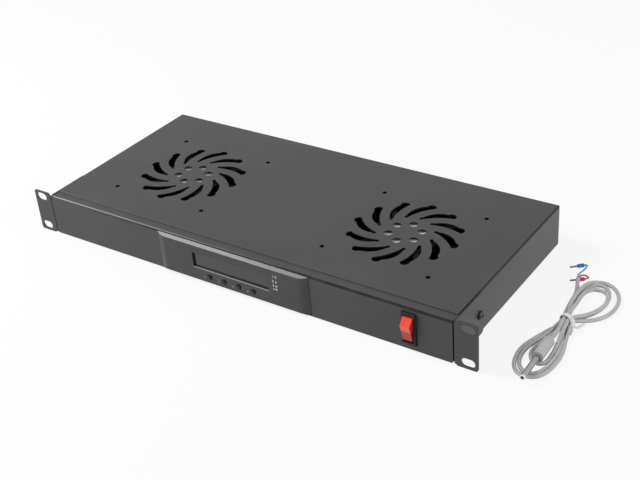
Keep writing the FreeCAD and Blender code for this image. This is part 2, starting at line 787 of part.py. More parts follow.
# Ear brackets: an ear in front of the rack rail and a flange along the side wall, folded from one sheet
ear_inner = half_width + ear_sheet + bend_radius / 2
fold_outer = ear_sheet + bend_radius / 4
flange_low = -flange_drop - flange_height / 2
flange_high = -flange_drop + flange_height / 2
for side, sign in SIDES:
    ear = doc.addObject("PartDesign::Body", f"ear_{side}")
    ends = sorted([sign * ear_inner, sign * rack_width / 2], key=lambda end: end.value)
    pad(ear, f"ear_plate_{side}",
        profile(ear, f"ear_outline_{side}", "XZ_Plane", 0,
                [rectangle(ends, (-ear_height / 2, ear_height / 2))]),
        ear_sheet)
    soften(ear, f"ear_corners_{side}", ear_corner,
           lambda a, b: near(a.x, b.x) and near(a.z, b.z))
    strip = sorted([sign * half_width, sign * (ear_inner + ear_corner)], key=lambda end: end.value)
    pad(ear, f"ear_fold_{side}",
        profile(ear, f"fold_outline_{side}", "XZ_Plane", 0,
                [rectangle(strip, (flange_low, flange_high))]),
        ear_sheet)
    flange_start = half_width if sign > 0 else -half_width - ear_sheet
    pad(ear, f"ear_flange_{side}",
        profile(ear, f"flange_outline_{side}", "YZ_Plane", flange_start,
                [rectangle((-ear_sheet, flange_depth), (flange_low, flange_high))]),
        ear_sheet)
    soften(ear, f"flange_corners_{side}", flange_corner,
           lambda a, b: near(a.y, flange_depth) and near(b.y, flange_depth) and near(a.z, b.z))
    soften(ear, f"fold_bend_{side}", fold_outer,
           lambda a, b: all(near(p.y, -ear_sheet) and near(p.x, sign * half_width) for p in (a, b)))
    slots = []
    for v in (-1, 1):
        centre_x = sign * slot_spacing_x / 2
        centre_z = v * slot_spacing_z / 2
        reach = (slot_length - slot_width) / 2
        slots.append(cuboid(f"slot_middle_{side}_{v + 1}", (centre_x - reach, centre_x + reach),
                            (-ear_sheet - 1, amount(1)),
                            (centre_z - slot_width / 2, centre_z + slot_width / 2)))
        for u in (-1, 1):
            slots.append(rod(f"slot_end_{side}_{v + 1}_{u + 1}", slot_width / 2, ear_sheet + 2,
                             (centre_x + u * reach, -ear_sheet - 1, centre_z), "+y"))
    slots.append(rod(f"flange_hole_{side}", ear_screw_radius + screw_hole_gap, ear_sheet + 2,
                     (sign * (half_width - 1), ear_screw_setback, -flange_drop),
                     "+x" if sign > 0 else "-x"))
    node(f"ear_bracket_{side}", cut(f"ear_bracket_{side}_cut", ear, slots))
node("ear_screws", collect("ear_screw_set", [
    pan_screw(f"ear_screw_{side}", (sign * (half_width + ear_sheet), ear_screw_setback, -flange_drop),
              "-x" if sign > 0 else "+x", ear_screw_radius, ear_screw_length,
              ear_screw_head_radius, ear_screw_head_height)
    for side, sign in SIDES]))


# Fans: a square housing with the motor carrier on struts at its top, around a bladed rotor
def blade_section(radius, pitch):
    """A thin curved blade section across one radius, as a closed wire."""
    half = blade_chord.value / 2
    thick = blade_thickness.value / 2
    camber = blade_camber.value
    corners = [Vector(radius, -half, -thick / 2), Vector(radius, 0, camber - thick),
               Vector(radius, half, -thick / 2), Vector(radius, half, thick / 2),
               Vector(radius, 0, camber + thick), Vector(radius, -half, thick / 2)]
    edges = [Part.Arc(corners[0], corners[1], corners[2]).toShape(),
             Part.makeLine(corners[2], corners[3]),
             Part.Arc(corners[3], corners[4], corners[5]).toShape(),
             Part.makeLine(corners[5], corners[0])]
    wire = Part.Wire(edges)
    wire.rotate(Vector(), Vector(1, 0, 0), pitch)
    return wire


def blade_ring():
    """All the blades of one rotor, trimmed to the hub wall inside and to the running gap outside."""
    inner = rotor_radius.value - rotor_wall.value / 2
    outer = fan_bore_radius.value - blade_tip_gap.value
    root = blade_section(rotor_radius.value - 1.5 * rotor_wall.value, blade_root_pitch.value)
    tip = blade_section(outer + 2, blade_tip_pitch.value)
    blade = Part.makeLoft([root, tip], True, True)
    height = rotor_length.value * 1.2
    low = Vector(0, 0, -height / 2)
    sleeve = Part.makeCylinder(outer, height, low).cut(Part.makeCylinder(inner, height, low))
    blade = blade.common(sleeve)
    blades = []
    for turn in range(int(blade_count.value)):
        copy = blade.copy()
        copy.rotate(Vector(), Vector(0, 0, 1), turn * 360 / blade_count.value)
        blades.append(copy)
    return blades


rotor_top = fan_top - carrier_sheet - rotor_gap
rotor_bottom = rotor_top - rotor_length
carrier_under = fan_top - carrier_sheet
for side, sign in SIDES:
    middle = sign * fan_spread

    def at(level, x_shift=0, y_shift=0):
        return (middle + x_shift, fan_setback + y_shift, level)

    half = fan_size / 2
    square = cuboid(f"fan_square_{side}", (middle - half, middle + half),
                    (fan_setback - half, fan_setback + half), (floor_top, fan_top))
    square = rounded(f"fan_square_rounded_{side}", square, fan_corner,
                     lambda a, b: near(a.x, b.x) and near(a.y, b.y))
    waist_ring = cut(f"fan_waist_{side}",
                     cuboid(f"fan_waist_block_{side}", (middle - half - 1, middle + half + 1),
                            (fan_setback - half - 1, fan_setback + half + 1),
                            (floor_top + fan_flange, fan_top - fan_flange)),
                     [rod(f"fan_waist_core_{side}", fan_bore_radius + fan_duct_wall, fan_depth,
                          at(floor_top), "+z")])
    holes = [rod(f"fan_hole_{side}_{place}", fan_hole_radius, fan_depth + 2, (x, y, floor_top - 1), "+z")
             for place, (x, y) in enumerate(fan_corners(sign))]
    casing = cut(f"fan_casing_{side}", square,
                 [rod(f"fan_bore_{side}", fan_bore_radius, fan_depth + 2, at(floor_top - 1), "+z"),
                  waist_ring] + holes)
    struts = []
    for turn in range(int(strut_count.value)):
        strut = doc.addObject("Part::Box", f"fan_strut_{side}_{turn}")
        angle = 45 + turn * 360 / strut_count.value
        strut.Placement = Placement(Vector(), Rotation(Vector(0, 0, 1), angle))
        lean = amount(angle)
        bind(strut, "Length", fan_bore_radius - carrier_radius + fan_duct_wall)
        bind(strut, "Width", strut_width)
        bind(strut, "Height", carrier_sheet)
        start = carrier_radius - fan_duct_wall / 2
        put(strut, middle + start * cosine(lean) + strut_width / 2 * sine(lean),
            fan_setback + start * sine(lean) - strut_width / 2 * cosine(lean), carrier_under)
        struts.append(strut)
    carrier = rod(f"fan_carrier_{side}", carrier_radius, carrier_sheet, at(carrier_under), "+z")
    tube = rod(f"fan_tube_{side}", tube_radius, tube_length, at(carrier_under - tube_length), "+z")
    tube_bore = rod(f"fan_tube_bore_{side}", bearing_radius, tube_length + 1,
                    at(carrier_under - tube_length - 1), "+z")
    label_seat = rod(f"fan_label_seat_{side}", label_radius + label_gap, label_recess + 1,
                     at(fan_top - label_recess), "+z")
    node(f"fan_frame_{side}",
         cut(f"fan_frame_{side}_cut", join(f"fan_frame_blank_{side}", [casing, carrier, tube] + struts),
             [tube_bore, label_seat]))

    stator_top = carrier_under - 1
    node(f"fan_stator_{side}",
         cut(f"fan_stator_ring_{side}",
             rod(f"fan_stator_core_{side}", stator_radius, stator_length, at(stator_top - stator_length),
                 "+z"),
             [rod(f"fan_stator_hole_{side}", tube_radius, stator_length + 2,
                  at(stator_top - stator_length - 1), "+z")]))
    rings = []
    for place, level in enumerate((carrier_under - bearing_length - 1,
                                   carrier_under - tube_length)):
        rings.append(cut(f"bearing_{side}_{place}",
                         rod(f"bearing_blank_{side}_{place}", bearing_radius, bearing_length,
                             at(level), "+z"),
                         [rod(f"bearing_bore_{side}_{place}", shaft_radius + shaft_clearance,
                              bearing_length + 2, at(level - 1), "+z")]))
    node(f"fan_bearings_{side}", collect(f"fan_bearing_pair_{side}", rings))
    node(f"fan_label_{side}",
         rod(f"fan_label_disc_{side}", label_radius, label_sheet, at(fan_top - label_recess), "+z"))

    cup = cut(f"rotor_cup_{side}",
              rod(f"rotor_drum_{side}", rotor_radius, rotor_length, at(rotor_bottom), "+z"),
              [rod(f"rotor_room_{side}", rotor_radius - rotor_wall, rotor_length,
                   at(rotor_bottom + rotor_wall), "+z"),
               rod(f"rotor_shaft_hole_{side}", shaft_radius, rotor_wall + 2, at(rotor_bottom - 1), "+z")])
    blades = []
    for place, shape in enumerate(blade_ring()):
        blade = solid_of_shape(f"blade_{side}_{place}", shape)
        put(blade, *at(rotor_bottom + rotor_length / 2))
        blades.append(blade)
    node(f"fan_rotor_{side}", join(f"fan_rotor_{side}_whole", [cup] + blades))
    node(f"fan_shaft_{side}",
         rod(f"fan_shaft_rod_{side}", shaft_radius, carrier_under - 0.5 - rotor_bottom,
             at(rotor_bottom), "+z"))

fan_screws = []
for side, sign in SIDES:
    for place, (x, y) in enumerate(fan_corners(sign)):
        head = taper(f"fan_screw_head_{side}_{place}", fan_screw_head_radius,
                     fan_screw_head_radius - chassis_sheet, chassis_sheet, (x, y, floor_under), "+z")
        thread = rod(f"fan_screw_thread_{side}_{place}", fan_screw_radius, fan_screw_length,
                     (x, y, floor_under), "+z")
        fan_screws.append(join(f"fan_screw_{side}_{place}", [head, thread]))
node("fan_screws", collect("fan_screw_set", fan_screws))


# Controller bezel: one moulding, flat in front, bevelled above and below, its ends curved back
bezel_front = panel_front - bezel_depth
bezel_inside = bezel_front + bezel_wall
end_radius = (bezel_end_run * bezel_end_run + bezel_depth * bezel_depth) / (2 * bezel_depth)
bezel_half = bezel_width / 2
plan = doc.addObject("PartDesign::Body", "bezel_plan")
pad(plan, "bezel_plan_pad",
    profile(plan, "bezel_plan_outline", "XY_Plane", panel_middle - bezel_height / 2,
            [[(-bezel_half, panel_front, Arc(end_radius, 1)),
              (-bezel_half + bezel_end_run, bezel_front),
              (bezel_half - bezel_end_run, bezel_front, Arc(end_radius, 1)),
              (bezel_half, panel_front)]]),
    bezel_height)
section = doc.addObject("PartDesign::Body", "bezel_section")
pad(section, "bezel_section_pad",
    profile(section, "bezel_section_outline", "YZ_Plane", -bezel_half,
            [[(panel_front, panel_middle - bezel_height / 2),
              (bezel_front, panel_middle - bezel_height / 2 + bezel_bevel),
              (bezel_front, panel_middle + bezel_height / 2 - bezel_bevel),
              (panel_front, panel_middle + bezel_height / 2)]]),
    bezel_width)
bezel_block = common("bezel_block", plan, section)
window_low = window_rise - window_height / 2
window_high = window_rise + window_height / 2
button_places = [button_spacing * (place - 1.5) for place in range(4)]
bezel_cuts = [
    cuboid("window_opening", (-window_width / 2, window_width / 2), (bezel_front - 1, panel_front + 1),
           (window_low, window_high)),
    cuboid("bezel_back", (-display_cutout_width / 2 + 1, display_cutout_width / 2 - 1),
           (bezel_inside, panel_front + 1),
           (panel_middle - display_cutout_height / 2, panel_middle + display_cutout_height / 2)),
]
for place, x in enumerate(button_places, start=1):
    bezel_cuts.append(rod(f"button_hole_{place}", button_radius + button_clearance, bezel_depth + 2,
                          (x, bezel_front - 1, -button_drop), "+y"))
for place, (x, z) in enumerate(bezel_screw_places):
    bezel_cuts.append(rod(f"bezel_pilot_{place}", screw_radius, bezel_wall + 1,
                          (x, panel_front - bezel_wall, z), "+y"))
bezel_open = cut("bezel_open", bezel_block, bezel_cuts)
boss_places = []
for u in (-1, 1):
    for v in (-1, 1):
        boss_places.append((u * boss_x, panel_middle + v * boss_z))
boss_length = board_setback - bezel_inside
bosses = [rod(f"bezel_boss_{place}", boss_radius, boss_length + 0.5, (x, bezel_inside - 0.5, z), "+y")
          for place, (x, z) in enumerate(boss_places)]
boss_pilots = [rod(f"boss_pilot_{place}", screw_radius, 6, (x, board_setback - 5, z), "+y")
               for place, (x, z) in enumerate(boss_places)]
node("control_bezel", cut("control_bezel_cut", join("bezel_with_bosses", [bezel_open] + bosses),
                          boss_pilots))
node("bezel_screws", collect("bezel_screw_set", [
    pan_screw(f"bezel_screw_{place}", (x, wall_back, z), "-y", screw_radius,
              wall_back + panel_sheet + bezel_wall - 0.3, screw_head_radius, screw_head_height, False)
    for place, (x, z) in enumerate(bezel_screw_places)]))

# Display: a dark lens behind the window, and the display block between it and the board
node("display_lens",
     cuboid("display_lens_sheet", (-window_width / 2 - lens_margin, window_width / 2 + lens_margin),
            (bezel_inside, bezel_inside + lens_sheet),
            (window_low - lens_margin, window_high + lens_margin)))
module_front = bezel_inside + lens_sheet + 0.2
node("display_module",
     cuboid("display_block", (-window_width / 2, window_width / 2),
            (module_front, board_setback), (window_low, window_high)))

# Controller board on the bezel's bosses, with four small switches on its front
board_back = board_setback + board_sheet
board_holes = [rod(f"board_hole_{place}", screw_radius + screw_hole_gap, board_sheet + 2,
                   (x, board_setback - 1, z), "+y") for place, (x, z) in enumerate(boss_places)]
node("controller_board",
     cut("controller_board_cut",
         cuboid("board_sheet_blank", (-board_width / 2, board_width / 2), (board_setback, board_back),
                (panel_middle - board_height / 2, panel_middle + board_height / 2)),
         board_holes))
node("board_screws", collect("board_screw_set", [
    pan_screw(f"board_screw_{place}", (x, board_back, z), "-y", screw_radius, board_sheet + 4,
              screw_head_radius, screw_head_height, False)
    for place, (x, z) in enumerate(boss_places)]))
board_parts = [
    cuboid("board_regulator", (amount(20), amount(34)), (board_back, board_back + 7),
           (panel_middle - 8, panel_middle + 4)),
    cuboid("board_plug_left", (amount(-44), amount(-34)), (board_back, board_back + 6),
           (panel_middle - 3, panel_middle + 3)),
    cuboid("board_plug_right", (amount(38), amount(48)), (board_back, board_back + 6),
           (panel_middle - 3, panel_middle + 3)),
]
node("board_components", collect("board_component_set", board_parts))

tact_front = board_setback - tact_height
tacts = []
for place, x in enumerate(button_places, start=1):
    block = cuboid(f"tact_block_{place}", (x - tact_width / 2, x + tact_width / 2),
                   (tact_front, board_setback),
                   (-button_drop - tact_width / 2, -button_drop + tact_width / 2))
    well = rod(f"tact_well_{place}", plunger_radius + 0.1, tact_height, (x, tact_front - 1.2, -button_drop),
               "+y")
    tacts.append(cut(f"tact_switch_{place}", block, [well]))
node("tact_switches", collect("tact_switch_set", tacts))
well_floor = tact_front - 1.2 + tact_height
plunger_back = well_floor - button_travel - 0.1
plunger_front = plunger_back - plunger_length
for place, x in enumerate(button_places, start=1):
    node(f"tact_plunger_{place}",
         rod(f"tact_plunger_rod_{place}", plunger_radius, plunger_length,
             (x, plunger_front, -button_drop), "+y"))

# Push buttons: turned shapes with a domed cap, a collar behind the bezel wall and a stem
cap_edge = bezel_front - button_proud * 0.7
collar_front = bezel_inside + 0.1
for place, x in enumerate(button_places, start=1):
    body = doc.addObject("PartDesign::Body", f"button_body_{place}")
    dome = button_proud * 0.3
    dome_radius = (button_radius * button_radius + dome * dome) / (2 * dome)
    half_profile = [
        (0, bezel_front - button_proud, Arc(dome_radius, 1)),
        (button_radius, cap_edge),
        (button_radius, collar_front),
        (button_collar_radius, collar_front),
        (button_collar_radius, collar_front + button_collar_length),
        (button_stem_radius, collar_front + button_collar_length),
        (button_stem_radius, plunger_front),
        (0, plunger_front),
    ]
    sketch = profile(body, f"button_half_{place}", "XY_Plane", 0, [half_profile])
    turned = body.newObject("PartDesign::Revolution", f"button_turned_{place}")
    turned.Profile = sketch
    turned.ReferenceAxis = (sketch, ["V_Axis"])
    turned.Angle = 360
    put(body, x, 0, -button_drop)
    doc.recompute()
    node(f"button_{place}", body)


# Rocker switch: a black frame and body through the panel, and a rocker that tilts on two stubs
frame_front = panel_front - switch_frame_depth
frame_half_x = switch_frame_width / 2
frame_half_z = switch_frame_height / 2
switch_back = frame_front + switch_frame_depth + switch_body_depth
frame_plate = rounded(
    "switch_frame_plate",
    cuboid("switch_frame_block", (switch_x - frame_half_x, switch_x + frame_half_x),
           (frame_front, panel_front), (-frame_half_z, frame_half_z)),
    switch_frame_depth * 0.4,
    lambda a, b: near(a.y, frame_front) and near(b.y, frame_front))
switch_core = cuboid("switch_core",
                     (switch_x - switch_body_width / 2, switch_x + switch_body_width / 2),
                     (panel_front - switch_frame_depth / 2, switch_back),
                     (-switch_body_height / 2, switch_body_height / 2))
well_half_x = rocker_width / 2 + rocker_clearance
well_half_z = rocker_end_half + rocker_end_gap
well_back = pivot_setback + rocker_hub_radius + 4
switch_well = cuboid("switch_well", (switch_x - well_half_x, switch_x + well_half_x),
                     (frame_front - 1, well_back), (-well_half_z, well_half_z))
pivot_holes = rod("pivot_holes", pivot_radius + pivot_clearance, switch_body_width + 2,
                  (switch_x - switch_body_width / 2 - 1, pivot_setback, 0), "+x")
node("switch_body", cut("switch_body_cut", join("switch_body_blank", [frame_plate, switch_core]),
                        [switch_well, pivot_holes]))
tabs = [cuboid(f"switch_tab_{place + 1}", (switch_x - tab_width / 2, switch_x + tab_width / 2),
               (switch_back, switch_back + tab_length),
               (place * tab_spacing - tab_sheet / 2, place * tab_spacing + tab_sheet / 2))
        for place in (-1, 0, 1)]
node("switch_terminals", collect("switch_tab_set", tabs))

# The rocker is drawn level about its pivot and then set over to the position with its top end out
rocker = doc.addObject("PartDesign::Body", "rocker")
dish_radius = (rocker_face_half * rocker_face_half + rocker_dish * rocker_dish) / (2 * rocker_dish)
pad(rocker, "rocker_pad",
    profile(rocker, "rocker_outline", "YZ_Plane", -rocker_width / 2,
            [[(-rocker_face_rise, -rocker_face_half, Arc(dish_radius, 1)),
              (-rocker_face_rise, rocker_face_half),
              (-rocker_end_rise, rocker_end_half),
              (rocker_hub_radius / 4, rocker_end_half - 0.6),
              (rocker_hub_radius, rocker_hub_radius, Arc(rocker_hub_radius * 1.4, 1)),
              (rocker_hub_radius, -rocker_hub_radius),
              (rocker_hub_radius / 4, -rocker_end_half + 0.6),
              (-rocker_end_rise, -rocker_end_half)]]),
    rocker_width)
stub_reach = rocker_width / 2 + pivot_stub
stub = rod("rocker_stub", pivot_radius, 2 * stub_reach, (-stub_reach, 0, 0), "+x")
rocker_whole = join("rocker_whole", [rocker, stub])
rocker_whole.Placement = Placement(Vector(), Rotation(Vector(1, 0, 0), rocker_tilt.value))
put(rocker_whole, switch_x, pivot_setback, 0)
bind(rocker_whole, "Placement.Rotation.Angle", rocker_tilt)
node("switch_rocker", rocker_whole)


# Mains inlet: a flanged moulding in the rear wall, with a canted mouth and three flat pins
inlet_back = rear_face - inlet_body_depth
mouth_floor = rear_face + inlet_flange_sheet - inlet_mouth_depth
inlet_flange = rounded(
    "inlet_flange",
    cuboid("inlet_flange_block",
           (inlet_x - inlet_flange_width / 2, inlet_x + inlet_flange_width / 2),
           (rear_face, rear_face + inlet_flange_sheet),
           (-inlet_drop - inlet_flange_height / 2, -inlet_drop + inlet_flange_height / 2)),
    amount(3), lambda a, b: near(a.x, b.x) and near(a.z, b.z))
inlet_core = cuboid("inlet_core", (inlet_x - inlet_body_width / 2, inlet_x + inlet_body_width / 2),
                    (inlet_back, rear_face + inlet_flange_sheet / 2),
                    (-inlet_drop - inlet_body_height / 2, -inlet_drop + inlet_body_height / 2))
mouth = doc.addObject("PartDesign::Body", "inlet_mouth")
mouth_half = inlet_mouth_width / 2
mouth_low = -inlet_drop - inlet_mouth_height / 2
mouth_high = -inlet_drop + inlet_mouth_height / 2
pad(mouth, "inlet_mouth_pad",
    profile(mouth, "inlet_mouth_outline", "XZ_Plane", -(mouth_floor),
            [[(inlet_x - mouth_half, mouth_low), (inlet_x + mouth_half, mouth_low),
              (inlet_x + mouth_half, mouth_high - inlet_mouth_cant),
              (inlet_x + mouth_half - inlet_mouth_cant, mouth_high),
              (inlet_x - mouth_half + inlet_mouth_cant, mouth_high),
              (inlet_x - mouth_half, mouth_high - inlet_mouth_cant)]]),
    inlet_mouth_depth + 1, reverse=True)
inlet_holes = [rod(f"inlet_flange_hole_{side}", screw_radius + screw_hole_gap, inlet_flange_sheet + 2,
                   (inlet_x + sign * inlet_screw_spacing / 2, rear_face - 1, -inlet_drop), "+y")
               for side, sign in SIDES]
node("power_inlet", cut("power_inlet_cut", join("inlet_blank", [inlet_flange, inlet_core]),
                        [mouth] + inlet_holes))
pins = []
for place in (-1, 0, 1):
    x = inlet_x + place * pin_spacing
    level = -inlet_drop + (pin_rise if place == 0 else -pin_rise)
    pins.append(cuboid(f"inlet_pin_{place + 1}", (x - pin_sheet / 2, x + pin_sheet / 2),
                       (mouth_floor, mouth_floor + pin_length),
                       (level - pin_width / 2, level + pin_width / 2)))
node("inlet_pins", collect("inlet_pin_set", pins))
node("inlet_screws", collect("inlet_screw_set", [
    pan_screw(f"inlet_screw_{side}",
              (inlet_x + sign * inlet_screw_spacing / 2, rear_face + inlet_flange_sheet, -inlet_drop),
              "-y", screw_radius, inlet_flange_sheet + 6, screw_head_radius, screw_head_height)
    for side, sign in SIDES]))

# Probe terminal: two wire entries below two clamp screws, flush through the rear wall
terminal_face = rear_face + terminal_proud
terminal_block = cuboid("terminal_block",
                        (terminal_x - terminal_width / 2, terminal_x + terminal_width / 2),
                        (terminal_face - terminal_depth, terminal_face),
                        (-inlet_drop - terminal_height / 2, -inlet_drop + terminal_height / 2))
terminal_cuts = []
clamp_screws = []
for side, sign in SIDES:
    x = terminal_x + sign * terminal_pitch / 2
    terminal_cuts.append(rod(f"terminal_entry_{side}", terminal_entry_radius, terminal_depth * 0.7,
                             (x, terminal_face - terminal_depth * 0.7, -inlet_drop - terminal_row), "+y"))
    terminal_cuts.append(rod(f"terminal_well_{side}", screw_radius + screw_hole_gap, terminal_depth * 0.6,
                             (x, terminal_face - terminal_depth * 0.6, -inlet_drop + terminal_row), "+y"))
    clamp = rod(f"clamp_screw_blank_{side}", screw_radius, terminal_depth * 0.5,
                (x, terminal_face - terminal_depth * 0.6, -inlet_drop + terminal_row), "+y")
    slot = cuboid(f"clamp_screw_slot_{side}", (x - 0.3, x + 0.3),
                  (terminal_face - terminal_depth * 0.1 - 0.8, terminal_face),
                  (-inlet_drop + terminal_row - 2, -inlet_drop + terminal_row + 2))
    clamp_screws.append(cut(f"clamp_screw_{side}", clamp, [slot]))
node("probe_terminal", cut("probe_terminal_cut", terminal_block, terminal_cuts))
node("terminal_screws", collect("clamp_screw_pair", clamp_screws))


# Cables: straight runs joined by tangent arcs, each arc as large as its two runs allow
def route_tube(name, points, radius, share=0.45):
    """A tube along a route, its arcs from the shorter run beside each corner."""
    spots = [Vector(*point) for point in points]
    pieces = []
    length = 0.0
    start = spots[0]
    for place in range(1, len(spots) - 1):
        before = (spots[place - 1] - spots[place]).normalize()
        after = (spots[place + 1] - spots[place]).normalize()
        shorter = min((spots[place - 1] - spots[place]).Length, (spots[place + 1] - spots[place]).Length)
        turn = math.pi - before.getAngle(after)
        reach = share * shorter
        bend = reach / math.tan(turn / 2)
        first = spots[place] + before * reach
        centre = spots[place] + (before + after).normalize() * (bend / math.cos(turn / 2))
        disc = Part.Face(Part.Wire(Part.makeCircle(radius, first, before)))
        pieces.append(Part.makeCylinder(radius, (first - start).Length, start, first - start))
        pieces.append(disc.revolve(centre, after.cross(before), math.degrees(turn)))
        length += (first - start).Length + bend * turn
        start = spots[place] + after * reach
        print(f"{name} bend {place}: {bend:.1f} mm")
    pieces.append(Part.makeCylinder(radius, (spots[-1] - start).Length, start, spots[-1] - start))
    length += (spots[-1] - start).Length
    tube = pieces[0].fuse(pieces[1:])
    expected = math.pi * radius ** 2 * length
    if len(tube.Solids) != 1 or abs(tube.Volume - expected) > 0.01 * expected:
        raise RuntimeError(f"{name} has volume {tube.Volume:.1f}, not {expected:.1f}")
    print(f"{name} length {length:.1f} mm")
    return solid_of_shape(name, tube)


fan_right = fan_spread.value + fan_size.value / 2
aisle = (fan_right + half_width.value - chassis_sheet.value) / 2
mains_radius = 2.5
node("mains_cable", route_tube("mains_cable_tube", [
    (inlet_x.value, inlet_back.value, -inlet_drop.value),
    (inlet_x.value, inlet_back.value - 15, -inlet_drop.value),
    (aisle, inlet_back.value - 22, -12),
    (aisle - 2, 100, -13),
    (aisle + 1, 46, -8),
    (switch_x.value + 1, 34, tab_spacing.value / 2),
    (switch_x.value, switch_back.value + 0.1, tab_spacing.value / 2),
], mains_radius))
fan_lead_radius = 1.5
fan_front = fan_setback.value - fan_size.value / 2
plug_back = board_back.value + 6
node("fan_cable_left", route_tube("fan_cable_left_tube", [
    (-fan_spread.value + 30, fan_front, fan_top.value - fan_flange.value / 2),
    (-fan_spread.value + 30, fan_front - 10, fan_top.value - fan_flange.value / 2),
    (-52, plug_back + 14, 4),
    (-39, plug_back + 10, panel_middle.value),
    (-39, plug_back, panel_middle.value),
], fan_lead_radius))
node("fan_cable_right", route_tube("fan_cable_right_tube", [
    (fan_spread.value - 30, fan_front, fan_top.value - fan_flange.value / 2),
    (fan_spread.value - 30, fan_front - 10, fan_top.value - fan_flange.value / 2),
    (56, plug_back + 14, 4),
    (43, plug_back + 10, panel_middle.value),
    (43, plug_back, panel_middle.value),
], fan_lead_radius))


# Probe lead: hank, tie, tail and probe run, the sleeve and steel tube, and two cores with crimped pins
ground = standing_level.value
lead_radius = lead_diameter.value / 2
tail_level = ground + lead_radius
over_hank = ground + hank_height.value


def ellipse_face(centre, long_half, short_half, lean):
    """A flat ellipse on the standing surface, its long axis turned from +Y by an angle."""
    curve = Part.Ellipse(Vector(), long_half, short_half).toShape()
    curve.rotate(Vector(), Vector(0, 0, 1), 90 + lean)
    curve.translate(Vector(centre[0], centre[1], ground))
    return Part.Face(Part.Wire(curve))


def lobe(centre, long_half, short_half, lean, band):
    """One lobe of the hank: an oval ring as wide as its band of strands."""
    outer = ellipse_face(centre, long_half, short_half, lean)
    inner = ellipse_face(centre, long_half - band, short_half - band, lean)
    return outer.cut(inner).extrude(Vector(0, 0, hank_height.value))


def rod_between(name, radius, start, end):
    """A round bar between two points."""
    item = doc.addObject("Part::Cylinder", name)
    way = Vector(*end) - Vector(*start)
    item.Placement = Placement(Vector(*start), Rotation(Vector(0, 0, 1), way))
    item.Height = way.Length
    bind(item, "Radius", radius)
    return item


def point_along(start, end, distance):
    way = (Vector(*end) - Vector(*start)).normalize()
    return tuple(Vector(*start) + way * distance)


tie_place = (276.5, 95.5)
tie_wall = 0.8
tie_half = 2.0
neck_half = 6.5
neck_low = ground + tie_wall
neck_high = over_hank - tie_wall
neck_front = 82.0
neck_rear = 108.0
upper_lobe = lobe((286.5, 128.0), 31.0, 18.0, -6.0, 10.0)
lower_lobe = lobe((273.8, 49.5), 43.0, 17.5, 2.0, 7.5)
clear = Part.makeBox(60, neck_rear - neck_front - 8, 40,
                     Vector(tie_place[0] - 30, neck_front + 4, ground - 5))
neck = Part.makeBox(2 * neck_half, neck_rear - neck_front, neck_high - neck_low,
                    Vector(tie_place[0] - neck_half, neck_front, neck_low))

sleeve_start = (274.6, 56.0, ground + sleeve_radius.value)
probe_tip = (277.6, 0.5, ground + 7.5)
sleeve_end = point_along(sleeve_start, probe_tip, sleeve_length.value)
tube_end = point_along(sleeve_end, probe_tip, probe_length.value)
probe_rest = rod_between("probe_rest", probe_radius + 0.3, sleeve_start, point_along(sleeve_end, probe_tip, 60))
doc.recompute()
over_probe = probe_rest.Shape.fuse(
    Part.makeBox(2 * probe_radius.value + 2.5, 40, 20,
                 Vector(probe_tip[0] - probe_radius.value - 2.2, probe_tip[1] - 10, probe_tip[2] - 0.6)))
strands = upper_lobe.fuse(lower_lobe).cut(clear)
node("lead_hank", solid_of_shape("lead_hank_shape", strands.fuse(neck).cut(over_probe)))
tie_outside = cuboid("hank_tie_outside",
                     (tie_place[0] - neck_half - tie_wall, tie_place[0] + neck_half + tie_wall),
                     (tie_place[1] - tie_half, tie_place[1] + tie_half),
                     (standing_level, standing_level + hank_height))
tie_inside = cuboid("hank_tie_inside", (tie_place[0] - neck_half, tie_place[0] + neck_half),
                    (tie_place[1] - tie_half - 1, tie_place[1] + tie_half + 1),
                    (standing_level + tie_wall, standing_level + hank_height - tie_wall))
node("hank_tie", cut("hank_tie_band", tie_outside, [tie_inside]))

tail_bend = (259.6, 146.5, ground + 5.05)
tail_end = (256.9, 155.0, ground + 5.9)
node("lead_tail", route_tube("lead_tail_tube", [
    (tie_place[0] - neck_half - lead_radius - 0.02, 98.0, tail_level + 0.8),
    (266.4, 117.0, tail_level),
    (264.3, 134.0, tail_level + 0.3),
    tail_bend,
    tail_end,
], lead_radius))
node("lead_run", route_tube("lead_run_tube", [
    (274.0, neck_front, ground + 4.3),
    (274.0, 75.0, ground + 4.3),
    point_along(sleeve_start, probe_tip, -9.0),
    sleeve_start,
], lead_radius))
node("probe_sleeve", rod_between("probe_sleeve_rod", sleeve_radius, sleeve_start, sleeve_end))
node("probe_tube", rod_between("probe_tube_rod", probe_radius, sleeve_end, tube_end))

